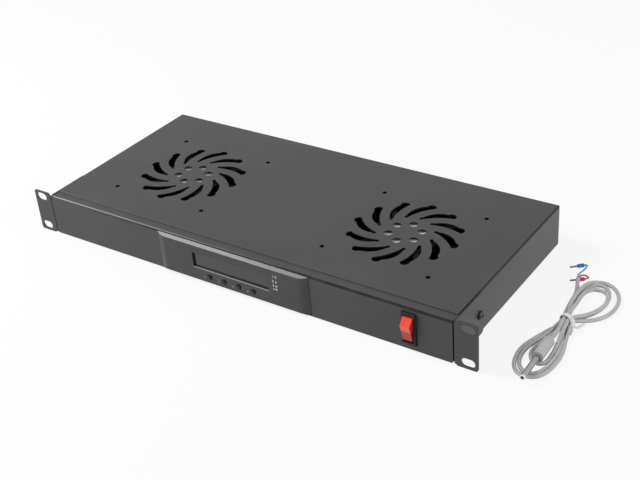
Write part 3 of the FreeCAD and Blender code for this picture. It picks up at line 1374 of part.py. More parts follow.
pin_level = ground + collar_radius.value
tail_way = (Vector(*tail_end) - Vector(*tail_bend)).normalize()
tail_side = tail_way.cross(Vector(0, 0, 1)).normalize()
core_gap = 0.3
core_spread = core_radius.value + core_gap / 2
core_routes = {
    "blue": [(256.2, 163.4, ground + 4.6), (257.0, 169.5, ground + 2.2), (258.0, 175.2, pin_level)],
    "red": [(259.4, 161.0, ground + 4.2), (263.4, 161.2, ground + 2.2)],
}
core_starts = {
    "blue": Vector(*tail_end) - tail_side * core_spread,
    "red": Vector(*tail_end) + tail_side * core_spread,
}
pin_tips = {"blue": (245.9, 168.3, pin_level), "red": (253.2, 148.0, pin_level)}
collar_backs = {"blue": (253.7, 175.4, pin_level), "red": (262.6, 155.4, pin_level)}
core_bend = 3.4
crimps = []
for colour, route in core_routes.items():
    collar_back = collar_backs[colour]
    pin_tip = pin_tips[colour]
    core_start = core_starts[colour]
    behind = point_along(collar_back, pin_tip, -core_bend)
    whole = [tuple(core_start), tuple(core_start + tail_way * core_bend)] + route + [behind, collar_back]
    node(f"core_{colour}", route_tube(f"core_{colour}_tube", whole, core_radius.value))
    collar_end = point_along(collar_back, pin_tip, collar_length.value)
    node(f"pin_collar_{colour}", rod_between(f"pin_collar_rod_{colour}", collar_radius, collar_back,
                                             collar_end))
    pin_end = point_along(collar_end, pin_tip, crimp_length.value)
    crimps.append(rod_between(f"crimp_pin_{colour}", crimp_radius, collar_end, pin_end))
node("crimp_pins", collect("crimp_pin_pair", crimps))


# Report and write the sub-parts
doc.recompute()
for item in doc.Objects:
    for word in ("Invalid", "Error"):
        if word in item.State:
            raise RuntimeError(f"{item.Name} is in state {item.State}")
for name, item in nodes.items():
    shape = item.Shape
    if shape.isNull() or not shape.isValid() or not shape.Solids:
        raise RuntimeError(name + " has no valid solid")
for name, item in nodes.items():
    item.Shape.exportStep(f"parts/{name}.step")
    box = item.Shape.BoundBox
    print(f"{name}: {len(item.Shape.Solids)} solid(s), {item.Shape.Volume:.1f} mm3, "
          f"x {box.XMin:.1f}..{box.XMax:.1f} y {box.YMin:.1f}..{box.YMax:.1f} z {box.ZMin:.1f}..{box.ZMax:.1f}")
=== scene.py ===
# Rack fan tray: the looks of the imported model, its probe lead, its markings, and the photograph's view
import math
import bpy
from mathutils import Matrix, Vector


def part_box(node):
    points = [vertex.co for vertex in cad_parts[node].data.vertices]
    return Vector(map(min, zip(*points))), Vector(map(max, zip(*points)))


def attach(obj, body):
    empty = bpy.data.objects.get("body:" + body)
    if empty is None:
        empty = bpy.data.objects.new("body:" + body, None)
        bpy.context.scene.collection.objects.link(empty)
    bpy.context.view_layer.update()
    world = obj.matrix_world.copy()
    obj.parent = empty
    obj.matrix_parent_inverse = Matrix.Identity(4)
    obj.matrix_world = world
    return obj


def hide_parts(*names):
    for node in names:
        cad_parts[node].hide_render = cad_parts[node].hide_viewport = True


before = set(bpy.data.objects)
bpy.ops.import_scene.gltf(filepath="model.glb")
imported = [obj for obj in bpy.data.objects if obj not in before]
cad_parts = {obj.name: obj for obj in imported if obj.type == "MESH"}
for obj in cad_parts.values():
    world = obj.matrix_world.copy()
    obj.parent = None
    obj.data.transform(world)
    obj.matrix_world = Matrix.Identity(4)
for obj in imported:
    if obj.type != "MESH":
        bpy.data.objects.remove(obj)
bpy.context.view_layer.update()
scene = bpy.context.scene


# Camera: the photograph looks down over the right front corner of the tray, a little rolled.
# Its place was solved from the four rack slots, whose spacing is known, and it uses a lens of
# about 65 mm on a 36 mm wide frame.
view_azimuth = math.radians(36.591)
view_elevation = math.radians(31.519)
view_roll = math.radians(-4.970)
view_place = Vector((0.570228, -0.636151, 0.544705))
photo_width = 640
focal_pixels = 1148.5
sensor_width = 36.0

back = Vector((math.sin(view_azimuth) * math.cos(view_elevation),
               -math.cos(view_azimuth) * math.cos(view_elevation),
               math.sin(view_elevation)))
level_right = (-back).cross(Vector((0, 0, 1))).normalized()
level_up = level_right.cross(-back)
right = math.cos(view_roll) * level_right + math.sin(view_roll) * level_up
up = -math.sin(view_roll) * level_right + math.cos(view_roll) * level_up
camera_data = bpy.data.cameras.new("photo_camera")
camera_data.sensor_width = sensor_width
camera_data.lens = focal_pixels / photo_width * sensor_width
camera_data.clip_end = 20
camera = bpy.data.objects.new("photo_camera", camera_data)
view_turn = Matrix((right, up, back)).transposed().to_4x4()
camera.matrix_world = Matrix.Translation(view_place) @ view_turn
scene.collection.objects.link(camera)
scene.camera = camera


# Sheet steel: the tray, the cover, the front panel and the ears are folded from one millimetre
# sheet and powder coated satin black. The coat has a fine orange peel and a faint mottle in its
# gloss. A painted highlight lies along the tray's front bend and the cover's front edge, and
# painted shade darkens the joints, the panel's top edge, the vent walls and the right of the bend.
class Channel:
    """A socket of a finish, with arithmetic that adds its Math nodes."""

    def __init__(self, finish, socket):
        self.finish = finish
        self.socket = socket

    def maths(self, operation, other, swapped=False):
        first, second = (other, self) if swapped else (self, other)
        return self.finish.node("ShaderNodeMath", {"operation": operation}, {0: first, 1: second})

    def __add__(self, other):
        return self.maths("ADD", other)

    __radd__ = __add__

    def __mul__(self, other):
        return self.maths("MULTIPLY", other)

    __rmul__ = __mul__

    def __sub__(self, other):
        return self.maths("SUBTRACT", other)

    def __rsub__(self, other):
        return self.maths("SUBTRACT", other, swapped=True)


class Finish:
    """One material, built from nodes and ending in a principled shader."""

    def __init__(self, name, owner=None):
        self.material = owner or bpy.data.materials.new(name)
        self.material.use_nodes = True
        self.tree = self.material.node_tree
        self.tree.nodes.clear()

    def node(self, kind, settings, inputs, output=0):
        made = self.tree.nodes.new(kind)
        for name, value in settings.items():
            setattr(made, name, value)
        for name, value in inputs.items():
            if isinstance(value, Channel):
                self.tree.links.new(value.socket, made.inputs[name])
            else:
                made.inputs[name].default_value = value
        return Channel(self, made.outputs[output]) if made.outputs else None

    def place(self):
        return self.node("ShaderNodeTexCoord", {}, {}, "Object")

    def axes(self, spot):
        split = self.node("ShaderNodeSeparateXYZ", {}, {0: spot}).socket.node
        return [Channel(self, side) for side in split.outputs]

    def grain(self, scale, detail=2.0, roughness=0.5, where=None):
        spot = where or self.place()
        return self.node("ShaderNodeTexNoise", {},
                         {"Vector": spot, "Scale": scale, "Detail": detail, "Roughness": roughness})

    def stretched(self, scale):
        return self.node("ShaderNodeMapping", {}, {"Vector": self.place(), "Scale": scale})

    def steps(self, value, low, high, start=0.0, end=1.0):
        return self.node("ShaderNodeMapRange", {},
                         {"Value": value, "From Min": low, "From Max": high, "To Min": start, "To Max": end})

    def between(self, value, low, high, fade):
        """One between two values, falling to nought over a fade inside each of them."""
        return self.steps(value, low, low + fade) * self.steps(value, high, high - fade)

    def mix(self, share, first, second):
        return self.node("ShaderNodeMix", {"data_type": "RGBA"}, {0: share, 6: first, 7: second}, 2)

    def bump(self, height, depth, strength=1.0):
        return self.node("ShaderNodeBump", {}, {"Height": height, "Distance": depth, "Strength": strength})

    def seen(self):
        """One where the surface is looked at, straight or in a mirror or glass, else nought."""
        rays = self.node("ShaderNodeLightPath", {}, {}, "Is Camera Ray")
        straight = Channel(self, rays.socket.node.outputs["Is Camera Ray"])
        mirrored = Channel(self, rays.socket.node.outputs["Is Glossy Ray"])
        through = Channel(self, rays.socket.node.outputs["Is Transmission Ray"])
        return straight + mirrored + through

    def surface(self, inputs):
        shader = self.node("ShaderNodeBsdfPrincipled", {}, inputs)
        self.node("ShaderNodeOutputMaterial", {}, {"Surface": shader})
        return self.material


def dress(material, *nodes):
    """Gives CAD nodes a finish."""
    for name in nodes:
        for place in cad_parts[name].material_slots:
            place.material = material


coat_shades = ((0.034, 0.034, 0.037, 1), (0.042, 0.043, 0.046, 1))
fleck_grey = (0.20, 0.20, 0.205, 1)
# Colours of painted light, a pale grey for painted highlights and a near black for painted shade, and the
# extra roughness of the painted shade.
painted_highlight_grey = (0.52, 0.52, 0.53, 1)
painted_shade_black = (0.002, 0.002, 0.002, 1)
painted_shade_dullness = 0.5


def powder_coat(name, depths, height, ends, shares, painted_edge_colours, dullness=0.0, painted_gap_shade=None):
    """Satin black paint, with a painted highlight, painted shade or both along one edge as its colours ask,
    and painted shade where a mask is given.

    The edge lies between two depths and above a height. Its painted colour goes from the left one to
    the right one between its ends, with a share of it at each end.
    """
    finish = Finish(name)
    mottle = finish.steps(finish.grain(14, 4.0, 0.6), 0.35, 0.65)
    fine = finish.grain(2600, 2.0)
    peel = finish.grain(520, 2.0)
    film = finish.mix(mottle, *coat_shades)
    pepper = finish.steps(finish.grain(3800, 0.0), 0.42, 0.72)
    speckled = finish.mix(pepper * 0.08, film, fleck_grey)
    x, y, z = finish.axes(finish.place())
    sharp = 0.0003
    soft = 0.0005
    front, rear = depths
    band = finish.steps(y, front, front + sharp) * finish.steps(y, rear, rear - soft)
    above = finish.steps(z, height, height + soft)
    share = finish.steps(x, *ends, *shares)
    patchy = finish.steps(finish.grain(60, 3.0), 0.25, 0.6, 0.7, 1.0)
    # Mask of the painted highlight and painted shade along the edge, made patchy.
    painted_edge = band * above * share * patchy
    coated = finish.mix(painted_edge, speckled, finish.mix(finish.steps(x, *ends), *painted_edge_colours))
    dull = painted_edge * dullness
    if painted_gap_shade:
        # Painted shade where the given mask is one.
        gap_shade = painted_gap_shade(finish, x, y)
        coated = finish.mix(gap_shade, coated, painted_shade_black)
        dull = dull + gap_shade * painted_shade_dullness
    return finish.surface({
        "Base Color": coated,
        "Roughness": 0.34 + mottle * 0.05 + fine * 0.08 + dull,
        "Specular IOR Level": 0.42,
        "Normal": finish.bump(peel + fine * 0.6, 0.00011, 0.55),
    })


bezel_joint = 0.0832
panel_face = -0.0010


def bezel_joint_shade(finish, x, y):
    """Painted shade along the joint between the panel and the right end of the bezel."""
    half_width = 0.0006
    fade = 0.0003
    line = finish.between(x, bezel_joint - half_width, bezel_joint + half_width, fade)
    return line * finish.steps(y, panel_face, panel_face - fade)


cover_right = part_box("top_cover")[1][0]
vents_start = 0.0110


def cover_wall_shade(finish, x, y):
    """Painted shade on the cut walls of the vents and holes, and down the seam at the cover's right side."""
    normal = finish.node("ShaderNodeTexCoord", {}, {}, "Normal")
    upright = finish.axes(normal)[2]
    flatness = finish.node("ShaderNodeMath", {"operation": "ABSOLUTE"}, {0: upright})
    wall = 1 - finish.steps(flatness, 0.3, 0.7)
    behind_edge = finish.steps(y, vents_start, vents_start + 0.0010)
    left_of_bend = finish.steps(x, cover_right - 0.0030, cover_right - 0.0040)
    seam = finish.steps(x, cover_right - 0.0006, cover_right - 0.0004)
    return wall * behind_edge * left_of_bend + seam


# Tray and ears: a painted highlight along the tray's front bend at the left, turning into painted shade
# towards the right.
case_paint = powder_coat("case_paint", depths=(-0.0006, 0.0011), height=0.0181, ends=(-0.23, 0.06),
                         shares=(0.95, 1.0), painted_edge_colours=(painted_highlight_grey, painted_shade_black), dullness=painted_shade_dullness)
# Front panel: painted shade along its top edge, growing towards the right, and along its joint with the
# bezel's right end.
panel_paint = powder_coat("panel_paint", depths=(-0.0022, 0.0010), height=0.0176, ends=(-0.20, -0.06),
                          shares=(0.0, 1.0), painted_edge_colours=(painted_shade_black, painted_shade_black), dullness=painted_shade_dullness,
                          painted_gap_shade=bezel_joint_shade)
# Cover: a faint painted highlight on its front edge, and painted shade on the vent walls and down its right
# side.
cover_paint = powder_coat("cover_paint", depths=(0.0088, 0.0100), height=0.0190, ends=(-0.23, 0.19),
                          shares=(0.22, 0.16), painted_edge_colours=(painted_highlight_grey, painted_highlight_grey), painted_gap_shade=cover_wall_shade)
dress(case_paint, "chassis_tray", "ear_bracket_left", "ear_bracket_right")
dress(panel_paint, "front_panel")
dress(cover_paint, "top_cover")


# Fasteners: black oxide pan heads hold the ears and the cover, and plain zinc plated screws and
# nuts hold what is inside. Zinc is a bright grey metal with a slight cold tint and fine turning
# marks, black oxide a dark satin skin.
def plated(name, colour, roughness, metallic, streak):
    finish = Finish(name)
    turning = finish.grain(3000, 1.0, where=finish.stretched((1.0, 1.0, 0.08)))
    stain = finish.steps(finish.grain(260, 3.0), 0.3, 0.7)
    darker = tuple(part * streak for part in colour[:3]) + (1,)
    return finish.surface({
        "Base Color": finish.mix(stain, colour, darker),
        "Metallic": metallic,
        "Roughness": roughness + turning * 0.12,
        "Normal": finish.bump(turning, 0.00003, 0.4),
    })


zinc = plated("zinc_steel", (0.62, 0.63, 0.66, 1), 0.28, 1.0, 0.82)
black_oxide = plated("black_steel", (0.030, 0.030, 0.033, 1), 0.34, 0.25, 0.75)
motor_steel = plated("motor_steel", (0.40, 0.41, 0.43, 1), 0.38, 1.0, 0.78)
dress(black_oxide, "ear_screws", "cover_screws")
dress(zinc, "panel_nuts", "fan_screws", "bezel_screws", "board_screws", "inlet_screws",
      "terminal_screws", "fan_shaft_left", "fan_shaft_right")


# Fans: two 120 mm axial fans hang under the cover, moulded in black glass filled plastic. The
# hub of each carries a foil label on its upper face, which shows through the six round holes,
# and the wound stator, the steel shaft and two bearings sit inside it.
def moulded(name, colour, gloss, texture, depth=0.00006, shine=0.5):
    finish = Finish(name)
    skin = finish.grain(texture, 3.0)
    flow = finish.steps(finish.grain(30, 3.0), 0.3, 0.7)
    paler = tuple(part * 1.3 for part in colour[:3]) + (1,)
    return finish.surface({
        "Base Color": finish.mix(flow, colour, paler),
        "Roughness": gloss + skin * 0.1,
        "Specular IOR Level": shine,
        "Normal": finish.bump(skin, depth, 0.6),
    })


def label_foil():
    finish = Finish("label_foil")
    brushed = finish.grain(1800, 2.0, where=finish.stretched((0.03, 1.0, 1.0)))
    return finish.surface({
        "Base Color": finish.mix(brushed, (0.86, 0.87, 0.88, 1), (0.94, 0.95, 0.96, 1)),
        "Metallic": 0.02,
        "Roughness": 0.30 + brushed * 0.15,
        "Normal": finish.bump(brushed, 0.00002, 0.4),
    })


fan_plastic = moulded("fan_plastic", (0.003, 0.003, 0.004, 1), 0.60, 900, shine=0.12)
dress(fan_plastic, "fan_frame_left", "fan_frame_right", "fan_rotor_left", "fan_rotor_right")
dress(label_foil(), "fan_label_left", "fan_label_right")
dress(motor_steel, "fan_stator_left", "fan_stator_right")
brass = plated("bearing_brass", (0.70, 0.49, 0.22, 1), 0.30, 1.0, 0.85)
dress(brass, "fan_bearings_left", "fan_bearings_right")


# Thermostat bezel: one injection moulding in black ABS with bevelled edges and curved ends. Its
# face has a fine spark eroded grain. A smoked acrylic lens closes the window, and a red digit
# module stands behind it on the green board.
button_pitch = 0.0162
button_level = -0.0128
button_row_end = 0.0290
well_radius = 0.0034
window_end = 0.0422
window_foot = -0.0066
window_ledge = 0.0009
window_front = -0.0038


def bezel_skin():
    """Grained black plastic with a painted highlight along the lower edge of the window and painted shade in
    rings round the buttons.
    """
    finish = Finish("bezel_plastic")
    skin = finish.grain(1500, 3.0)
    flow = finish.steps(finish.grain(30, 3.0), 0.3, 0.7)
    base = finish.mix(flow, (0.024, 0.024, 0.026, 1), (0.031, 0.032, 0.034, 1))
    x, y, z = finish.axes(finish.place())
    along = finish.node("ShaderNodeMath", {"operation": "WRAP"}, {0: x, 1: button_pitch, 2: 0.0})
    across = along - button_pitch / 2
    rise = z - button_level
    reach = finish.node("ShaderNodeMath", {"operation": "SQRT"}, {0: across * across + rise * rise})
    row = finish.between(x, -button_row_end, button_row_end, 0.0005)
    # Painted shade in a ring round each button.
    well_shade = finish.steps(reach, well_radius, well_radius - 0.0004) * row
    # Painted highlight along the bottom of the window's recess.
    ledge_highlight = finish.between(z, window_foot, window_foot + window_ledge, 0.0002)
    ledge_highlight = ledge_highlight * finish.between(x, -window_end, window_end, 0.0002)
    ledge_highlight = ledge_highlight * finish.steps(y, window_front, window_front - 0.0004)
    dark = finish.mix(well_shade * 0.9, base, painted_shade_black)
    return finish.surface({
        "Base Color": finish.mix(ledge_highlight * 0.8, dark, (0.42, 0.42, 0.43, 1)),
        "Roughness": 0.30 + skin * 0.1,
        "Normal": finish.bump(skin, 0.00005, 0.6),
    })


def smoked_lens():
    finish = Finish("display_dark")
    haze = finish.grain(180, 3.0)
    return finish.surface({
        "Base Color": finish.mix(haze, (0.012, 0.011, 0.012, 1), (0.020, 0.017, 0.018, 1)),
        "Roughness": 0.13 + haze * 0.08,
        "Coat Weight": 0.4,
        "Coat Roughness": 0.08,
    })


dress(bezel_skin(), "control_bezel")
dress(smoked_lens(), "display_lens")
dress(moulded("display_module", (0.05, 0.05, 0.055, 1), 0.5, 700), "display_module")
dress(moulded("board_green", (0.015, 0.11, 0.045, 1), 0.38, 500), "controller_board")
dress(moulded("part_black", (0.03, 0.03, 0.032, 1), 0.45, 900),
      "board_components", "tact_switches", "tact_plunger_1", "tact_plunger_2", "tact_plunger_3",
      "tact_plunger_4")


# Buttons: four small domed caps of smooth black plastic in a row under the window, each held
# out by the switch behind it.
dress(moulded("button_plastic", (0.004, 0.004, 0.005, 1), 0.34, 1200, 0.00003, 0.35),
      "button_1", "button_2", "button_3", "button_4")


# Printing on the bezel: pale grey pad printed marks, a digit beside each button and four rows
# at the right of the window, each a digit and a sign for time, heat, up or down.
def add_piece(name, mesh_or_curve, material, body="case"):
    """Puts a new piece into the scene, on a body and with a finish."""
    piece = bpy.data.objects.new(name, mesh_or_curve)
    scene.collection.objects.link(piece)
    mesh_or_curve.materials.append(material)
    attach(piece, body)
    return piece


def printing_ink():
    finish = Finish("printing_ink")
    thin = finish.steps(finish.grain(1900, 3.0), 0.3, 0.7)
    return finish.surface({
        "Base Color": finish.mix(thin, (0.80, 0.81, 0.82, 1), (0.60, 0.61, 0.62, 1)),
        "Roughness": 0.45 + thin * 0.1,
    })


ink = printing_ink()
bezel_face = -0.0045
ink_layer = 0.00003


def print_on_bezel(name, curve, x, z):
    """Lays a flat outline on the bezel's face, its own x and y going right and up."""
    curve.extrude = ink_layer / 2
    mark = add_piece(name, curve, ink)
    upright = Matrix.Rotation(math.pi / 2, 4, "X")
    mark.matrix_world = Matrix.Translation((x, bezel_face - ink_layer, z)) @ upright
    return mark


digit_share = 0.70
stroke_gain = 0.018


def print_digit(name, digit, x, z, height):
    letter = bpy.data.curves.new(name, "FONT")
    letter.body = digit
    letter.size = height / digit_share
    letter.offset = height * stroke_gain
    return print_on_bezel(name, letter, x, z)


def print_sign(name, outlines, x, z, height):
    """A sign from closed outlines drawn in a square of one by one; an inner one cuts a hole."""
    sign = bpy.data.curves.new(name, "CURVE")
    sign.dimensions = "2D"
    sign.fill_mode = "BOTH"
    for outline in outlines:
        spline = sign.splines.new("POLY")
        spline.points.add(len(outline) - 1)
        for knot, (across, rise) in zip(spline.points, outline):
            knot.co = (across * height, rise * height, 0, 1)
        spline.use_cyclic_u = True
    return print_on_bezel(name, sign, x, z)


def ring_of(radius, count=28, middle=(0.5, 0.5)):
    turns = [2 * math.pi * step / count for step in range(count)]
    return [(middle[0] + radius * math.cos(turn), middle[1] + radius * math.sin(turn)) for turn in turns]


def bar(left, low, right, high):
    return [(left, low), (right, low), (right, high), (left, high)]


clock_hands = [(0.45, 0.45), (0.76, 0.45), (0.76, 0.54), (0.54, 0.54), (0.54, 0.80), (0.45, 0.80)]
clock_sign = [ring_of(0.5), ring_of(0.38), clock_hands]
heat_sign = [ring_of(0.24, middle=(0.5, 0.22)), bar(0.42, 0.47, 0.58, 1.0),
             bar(0.70, 0.55, 0.95, 0.62), bar(0.70, 0.78, 0.95, 0.85)]
up_sign = [[(0.0, 0.08), (1.0, 0.08), (0.5, 0.95)]]
down_sign = [[(0.0, 0.92), (1.0, 0.92), (0.5, 0.05)]]
row_height = 0.0023
row_start = 0.0468
sign_gap = 0.0027
legend_rows = {"1": (0.0094, clock_sign, "time"), "2": (0.0044, heat_sign, "heat"),
               "3": (0.0002, up_sign, "up"), "4": (-0.0036, down_sign, "down")}
for digit, (level, outlines, meaning) in legend_rows.items():
    print_digit(f"row_digit_{digit}", digit, row_start, level, row_height)
    print_sign(f"row_sign_{meaning}", outlines, row_start + sign_gap, level, row_height)
button_digit_height = 0.0016
button_digit_level = -0.0152
button_digit_start = -0.0312
for place, digit in enumerate("1234"):
    print_digit(f"button_digit_{digit}", digit, button_digit_start + place * button_pitch,
                button_digit_level, button_digit_height)


# Rocker switch: a black nylon body with a red translucent rocker, a lighter red on its upper facet as
# a painted highlight, a darker red on the lower one and down its right side as painted shade. Its face
# is smooth, and its terminals are tinned brass.
def rocker_red():
    finish = Finish("rocker_red")
    cloud = finish.steps(finish.grain(220, 3.0), 0.3, 0.7)
    skin = finish.grain(2400, 1.0)
    spot = finish.axes(finish.place())
    x, z = spot[0], spot[2]
    rocker_low, rocker_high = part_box("switch_rocker")
    ridge = (rocker_low[2] + rocker_high[2]) / 2
    # The upper facet takes a painted highlight, the lower one painted shade, and the right side a band of
    # painted shade.
    upper = finish.steps(z, ridge - 0.0004, ridge + 0.0004)
    flank_shade = finish.steps(x, rocker_high[0] - 0.0012, rocker_high[0] - 0.0007)
    shaded_red = finish.mix(cloud, (0.40, 0.008, 0.009, 1), (0.54, 0.026, 0.024, 1))
    lit = finish.mix(cloud, (0.86, 0.050, 0.022, 1), (0.92, 0.080, 0.040, 1))
    facets = finish.mix(upper, shaded_red, lit)
    return finish.surface({
        "Base Color": finish.mix(flank_shade * 0.85, facets, (0.10, 0.003, 0.003, 1)),
        "Roughness": 0.16 + skin * 0.10,
        "Subsurface Weight": 0.15,
        "Subsurface Radius": (0.004, 0.0008, 0.0004),
        "Subsurface Scale": 1.0,
        "Normal": finish.bump(skin, 0.00003, 0.5),
    })


dress(moulded("switch_plastic", (0.005, 0.005, 0.006, 1), 0.42, 1000, shine=0.3), "switch_body")
dress(rocker_red(), "switch_rocker")
tinned = plated("tin_brass", (0.66, 0.63, 0.55, 1), 0.32, 1.0, 0.86)
dress(tinned, "switch_terminals", "inlet_pins")


# Rear sockets: a three pole mains inlet in black thermoplastic and a two pole green terminal for
# the probe lead.
dress(moulded("inlet_plastic", (0.018, 0.018, 0.020, 1), 0.40, 800), "power_inlet")
dress(moulded("terminal_green", (0.02, 0.20, 0.09, 1), 0.42, 700), "probe_terminal")


# Wiring: the mains cable runs inside the tray from the inlet to the switch, and a lead from each
# fan to the board, all in plain black PVC.
dress(moulded("cable_black", (0.018, 0.018, 0.019, 1), 0.42, 600), "mains_cable", "fan_cable_left",
      "fan_cable_right")


# Probe lead: a light grey PVC cable, 3.5 mm thick and about a metre long, folded into a loose
# figure of eight of three turns and tied at its neck. One end goes into a grey moulded sleeve
# with a steel probe tube, the other splits into a blue and a red core with crimped pins.
floor_level = -0.02183
cable_thickness = 0.0035
tail_points = [
    (0.2594, 0.1490, 0.0050), (0.2616, 0.1430, 0.0044), (0.2652, 0.1330, 0.0019),
    (0.2662, 0.1200, 0.0018), (0.2682, 0.1050, 0.0022), (0.2710, 0.0950, 0.0044),
]
hank_turns = [
    [(0.2728, 0.0870, 0.0056), (0.2716, 0.0800, 0.0052), (0.2702, 0.0730, 0.0040),
     (0.2680, 0.0650, 0.0024), (0.2644, 0.0550, 0.0018), (0.2612, 0.0440, 0.0018),
     (0.2612, 0.0330, 0.0018), (0.2638, 0.0234, 0.0018), (0.2680, 0.0173, 0.0018),
     (0.2730, 0.0142, 0.0018), (0.2780, 0.0142, 0.0018), (0.2820, 0.0170, 0.0018),
     (0.2848, 0.0230, 0.0018), (0.2860, 0.0310, 0.0018), (0.2864, 0.0410, 0.0018),
     (0.2858, 0.0510, 0.0018), (0.2836, 0.0610, 0.0018), (0.2808, 0.0690, 0.0020),
     (0.2792, 0.0760, 0.0024), (0.2784, 0.0820, 0.0026)],
    [(0.2781, 0.0870, 0.0026), (0.2802, 0.0950, 0.0024), (0.2845, 0.1030, 0.0019),
     (0.2890, 0.1100, 0.0018), (0.2922, 0.1180, 0.0018), (0.2934, 0.1270, 0.0018),
     (0.2928, 0.1360, 0.0018), (0.2900, 0.1440, 0.0018), (0.2858, 0.1500, 0.0018),
     (0.2803, 0.1526, 0.0018), (0.2750, 0.1510, 0.0018), (0.2712, 0.1460, 0.0018),
     (0.2694, 0.1380, 0.0018), (0.2690, 0.1280, 0.0018), (0.2698, 0.1180, 0.0018),
     (0.2714, 0.1080, 0.0019), (0.2730, 0.0980, 0.0021)],
    [(0.2746, 0.0870, 0.0024), (0.2716, 0.0820, 0.0019), (0.2686, 0.0770, 0.0018),
     (0.2658, 0.0700, 0.0018), (0.2634, 0.0630, 0.0018), (0.2609, 0.0555, 0.0018),
     (0.2586, 0.0475, 0.0018), (0.2576, 0.0390, 0.0018), (0.2584, 0.0300, 0.0018),
     (0.2608, 0.0210, 0.0018), (0.2650, 0.0136, 0.0018), (0.2710, 0.0096, 0.0018),
     (0.2775, 0.0100, 0.0018), (0.2835, 0.0130, 0.0018), (0.2876, 0.0195, 0.0018),
     (0.2894, 0.0280, 0.0018), (0.2900, 0.0380, 0.0018), (0.2894, 0.0480, 0.0018),
     (0.2872, 0.0570, 0.0018), (0.2848, 0.0650, 0.0018), (0.2834, 0.0720, 0.0028),
     (0.2816, 0.0795, 0.0046)],
    [(0.2799, 0.0870, 0.0056), (0.2834, 0.0924, 0.0044), (0.2884, 0.0976, 0.0024),
     (0.2944, 0.1036, 0.0018), (0.2992, 0.1104, 0.0018), (0.3020, 0.1184, 0.0018),
     (0.3027, 0.1270, 0.0018), (0.3016, 0.1360, 0.0018), (0.2980, 0.1450, 0.0018),
     (0.2924, 0.1520, 0.0018), (0.2860, 0.1562, 0.0018), (0.2800, 0.1570, 0.0018),
     (0.2746, 0.1546, 0.0024), (0.2708, 0.1490, 0.0042), (0.2684, 0.1410, 0.0050),
     (0.2674, 0.1310, 0.0049), (0.2680, 0.1190, 0.0049), (0.2704, 0.1080, 0.0052),
     (0.2734, 0.0970, 0.0055)],
    [(0.2763, 0.0870, 0.0056), (0.2758, 0.0800, 0.0050), (0.2748, 0.0720, 0.0044),
     (0.2728, 0.0640, 0.0042), (0.2700, 0.0560, 0.0032), (0.2670, 0.0480, 0.0020),
     (0.2666, 0.0400, 0.0018), (0.2696, 0.0326, 0.0018), (0.2750, 0.0286, 0.0018),
     (0.2800, 0.0292, 0.0018), (0.2829, 0.0336, 0.0018), (0.2828, 0.0410, 0.0018),
     (0.2823, 0.0490, 0.0019), (0.2814, 0.0570, 0.0026), (0.2802, 0.0650, 0.0046),
     (0.2792, 0.0730, 0.0062), (0.2786, 0.0800, 0.0076)],
    [(0.2781, 0.0870, 0.0086), (0.2818, 0.0940, 0.0070), (0.2872, 0.1016, 0.0054),
     (0.2916, 0.1094, 0.0053), (0.2944, 0.1180, 0.0052), (0.2946, 0.1265, 0.0051),
     (0.2924, 0.1350, 0.0052), (0.2880, 0.1416, 0.0034), (0.2820, 0.1452, 0.0018),
     (0.2766, 0.1446, 0.0018), (0.2730, 0.1390, 0.0026), (0.2719, 0.1320, 0.0038),
     (0.2720, 0.1230, 0.0042), (0.2736, 0.1130, 0.0056), (0.2746, 0.1020, 0.0078),
     (0.2748, 0.0940, 0.0087)],
]
run_points = [
    (0.2746, 0.0870, 0.0088), (0.2752, 0.0800, 0.0085), (0.2758, 0.0720, 0.0070),
    (0.2756, 0.0650, 0.0054), (0.2750, 0.0605, 0.0048), (0.2746, 0.0560, 0.0048),
]
route = tail_points + [point for turn in hank_turns for point in turn] + run_points


def smooth_line(name, points, radius, resolution=4):
    """A round wire along one open smooth spline, its heights counted from the floor."""
    curve = bpy.data.curves.new(name, "CURVE")
    curve.dimensions = "3D"
    spline = curve.splines.new("NURBS")
    spline.points.add(len(points) - 1)
    for knot, (x, y, height) in zip(spline.points, points):
        knot.co = (x, y, floor_level + height, 1)
    spline.order_u = 3
    spline.use_endpoint_u = True
    spline.resolution_u = resolution
    curve.bevel_depth = radius
    curve.bevel_resolution = 4
    curve.use_fill_caps = True
    return curve


def soft_pvc(name, colour, gloss):
    finish = Finish(name)
    skin = finish.grain(1100, 3.0)
    handled = finish.steps(finish.grain(70, 3.0), 0.3, 0.7)
    dusty = tuple(part * 0.86 for part in colour[:3]) + (1,)
    return finish.surface({
        "Base Color": finish.mix(handled, colour, dusty),
        "Roughness": gloss + skin * 0.1,
        "Normal": finish.bump(skin, 0.00004, 0.5),
    })


tube_radius = 0.0025


def probe_steel():
    """Drawn steel tube: fine rings across it, a polished end at the tip made lighter as a painted highlight,
    and a spot of painted shade at its middle.
    """
    finish = Finish("probe_steel")
    drawn = finish.grain(1500, 2.0, where=finish.stretched((1.0, 0.05, 1.0)))
    spot = finish.place()
    tip = finish.steps(finish.axes(spot)[1], 0.0030, 0.0014)
    tube_low, tube_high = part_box("probe_tube")
    tip_middle = (tube_high[0] - tube_radius, tube_low[1], tube_high[2] - tube_radius)
    from_middle = finish.node("ShaderNodeVectorMath", {"operation": "DISTANCE"}, {0: spot, 1: tip_middle}, 1)
    # A spot of painted shade in the middle of the tip, and a painted highlight round it.
    bore_shade = tip * finish.steps(from_middle, 0.0018, 0.0012)
    brushed = finish.mix(drawn, (0.36, 0.36, 0.37, 1), (0.50, 0.50, 0.51, 1))
    rim_highlight = finish.mix(tip, brushed, (0.80, 0.80, 0.80, 1))
    return finish.surface({
        "Base Color": finish.mix(bore_shade, rim_highlight, (0.06, 0.06, 0.06, 1)),
        "Metallic": 1.0,
        "Roughness": 0.30 - tip * 0.18,
        "Normal": finish.bump(drawn, 0.00003, 0.5),
    })


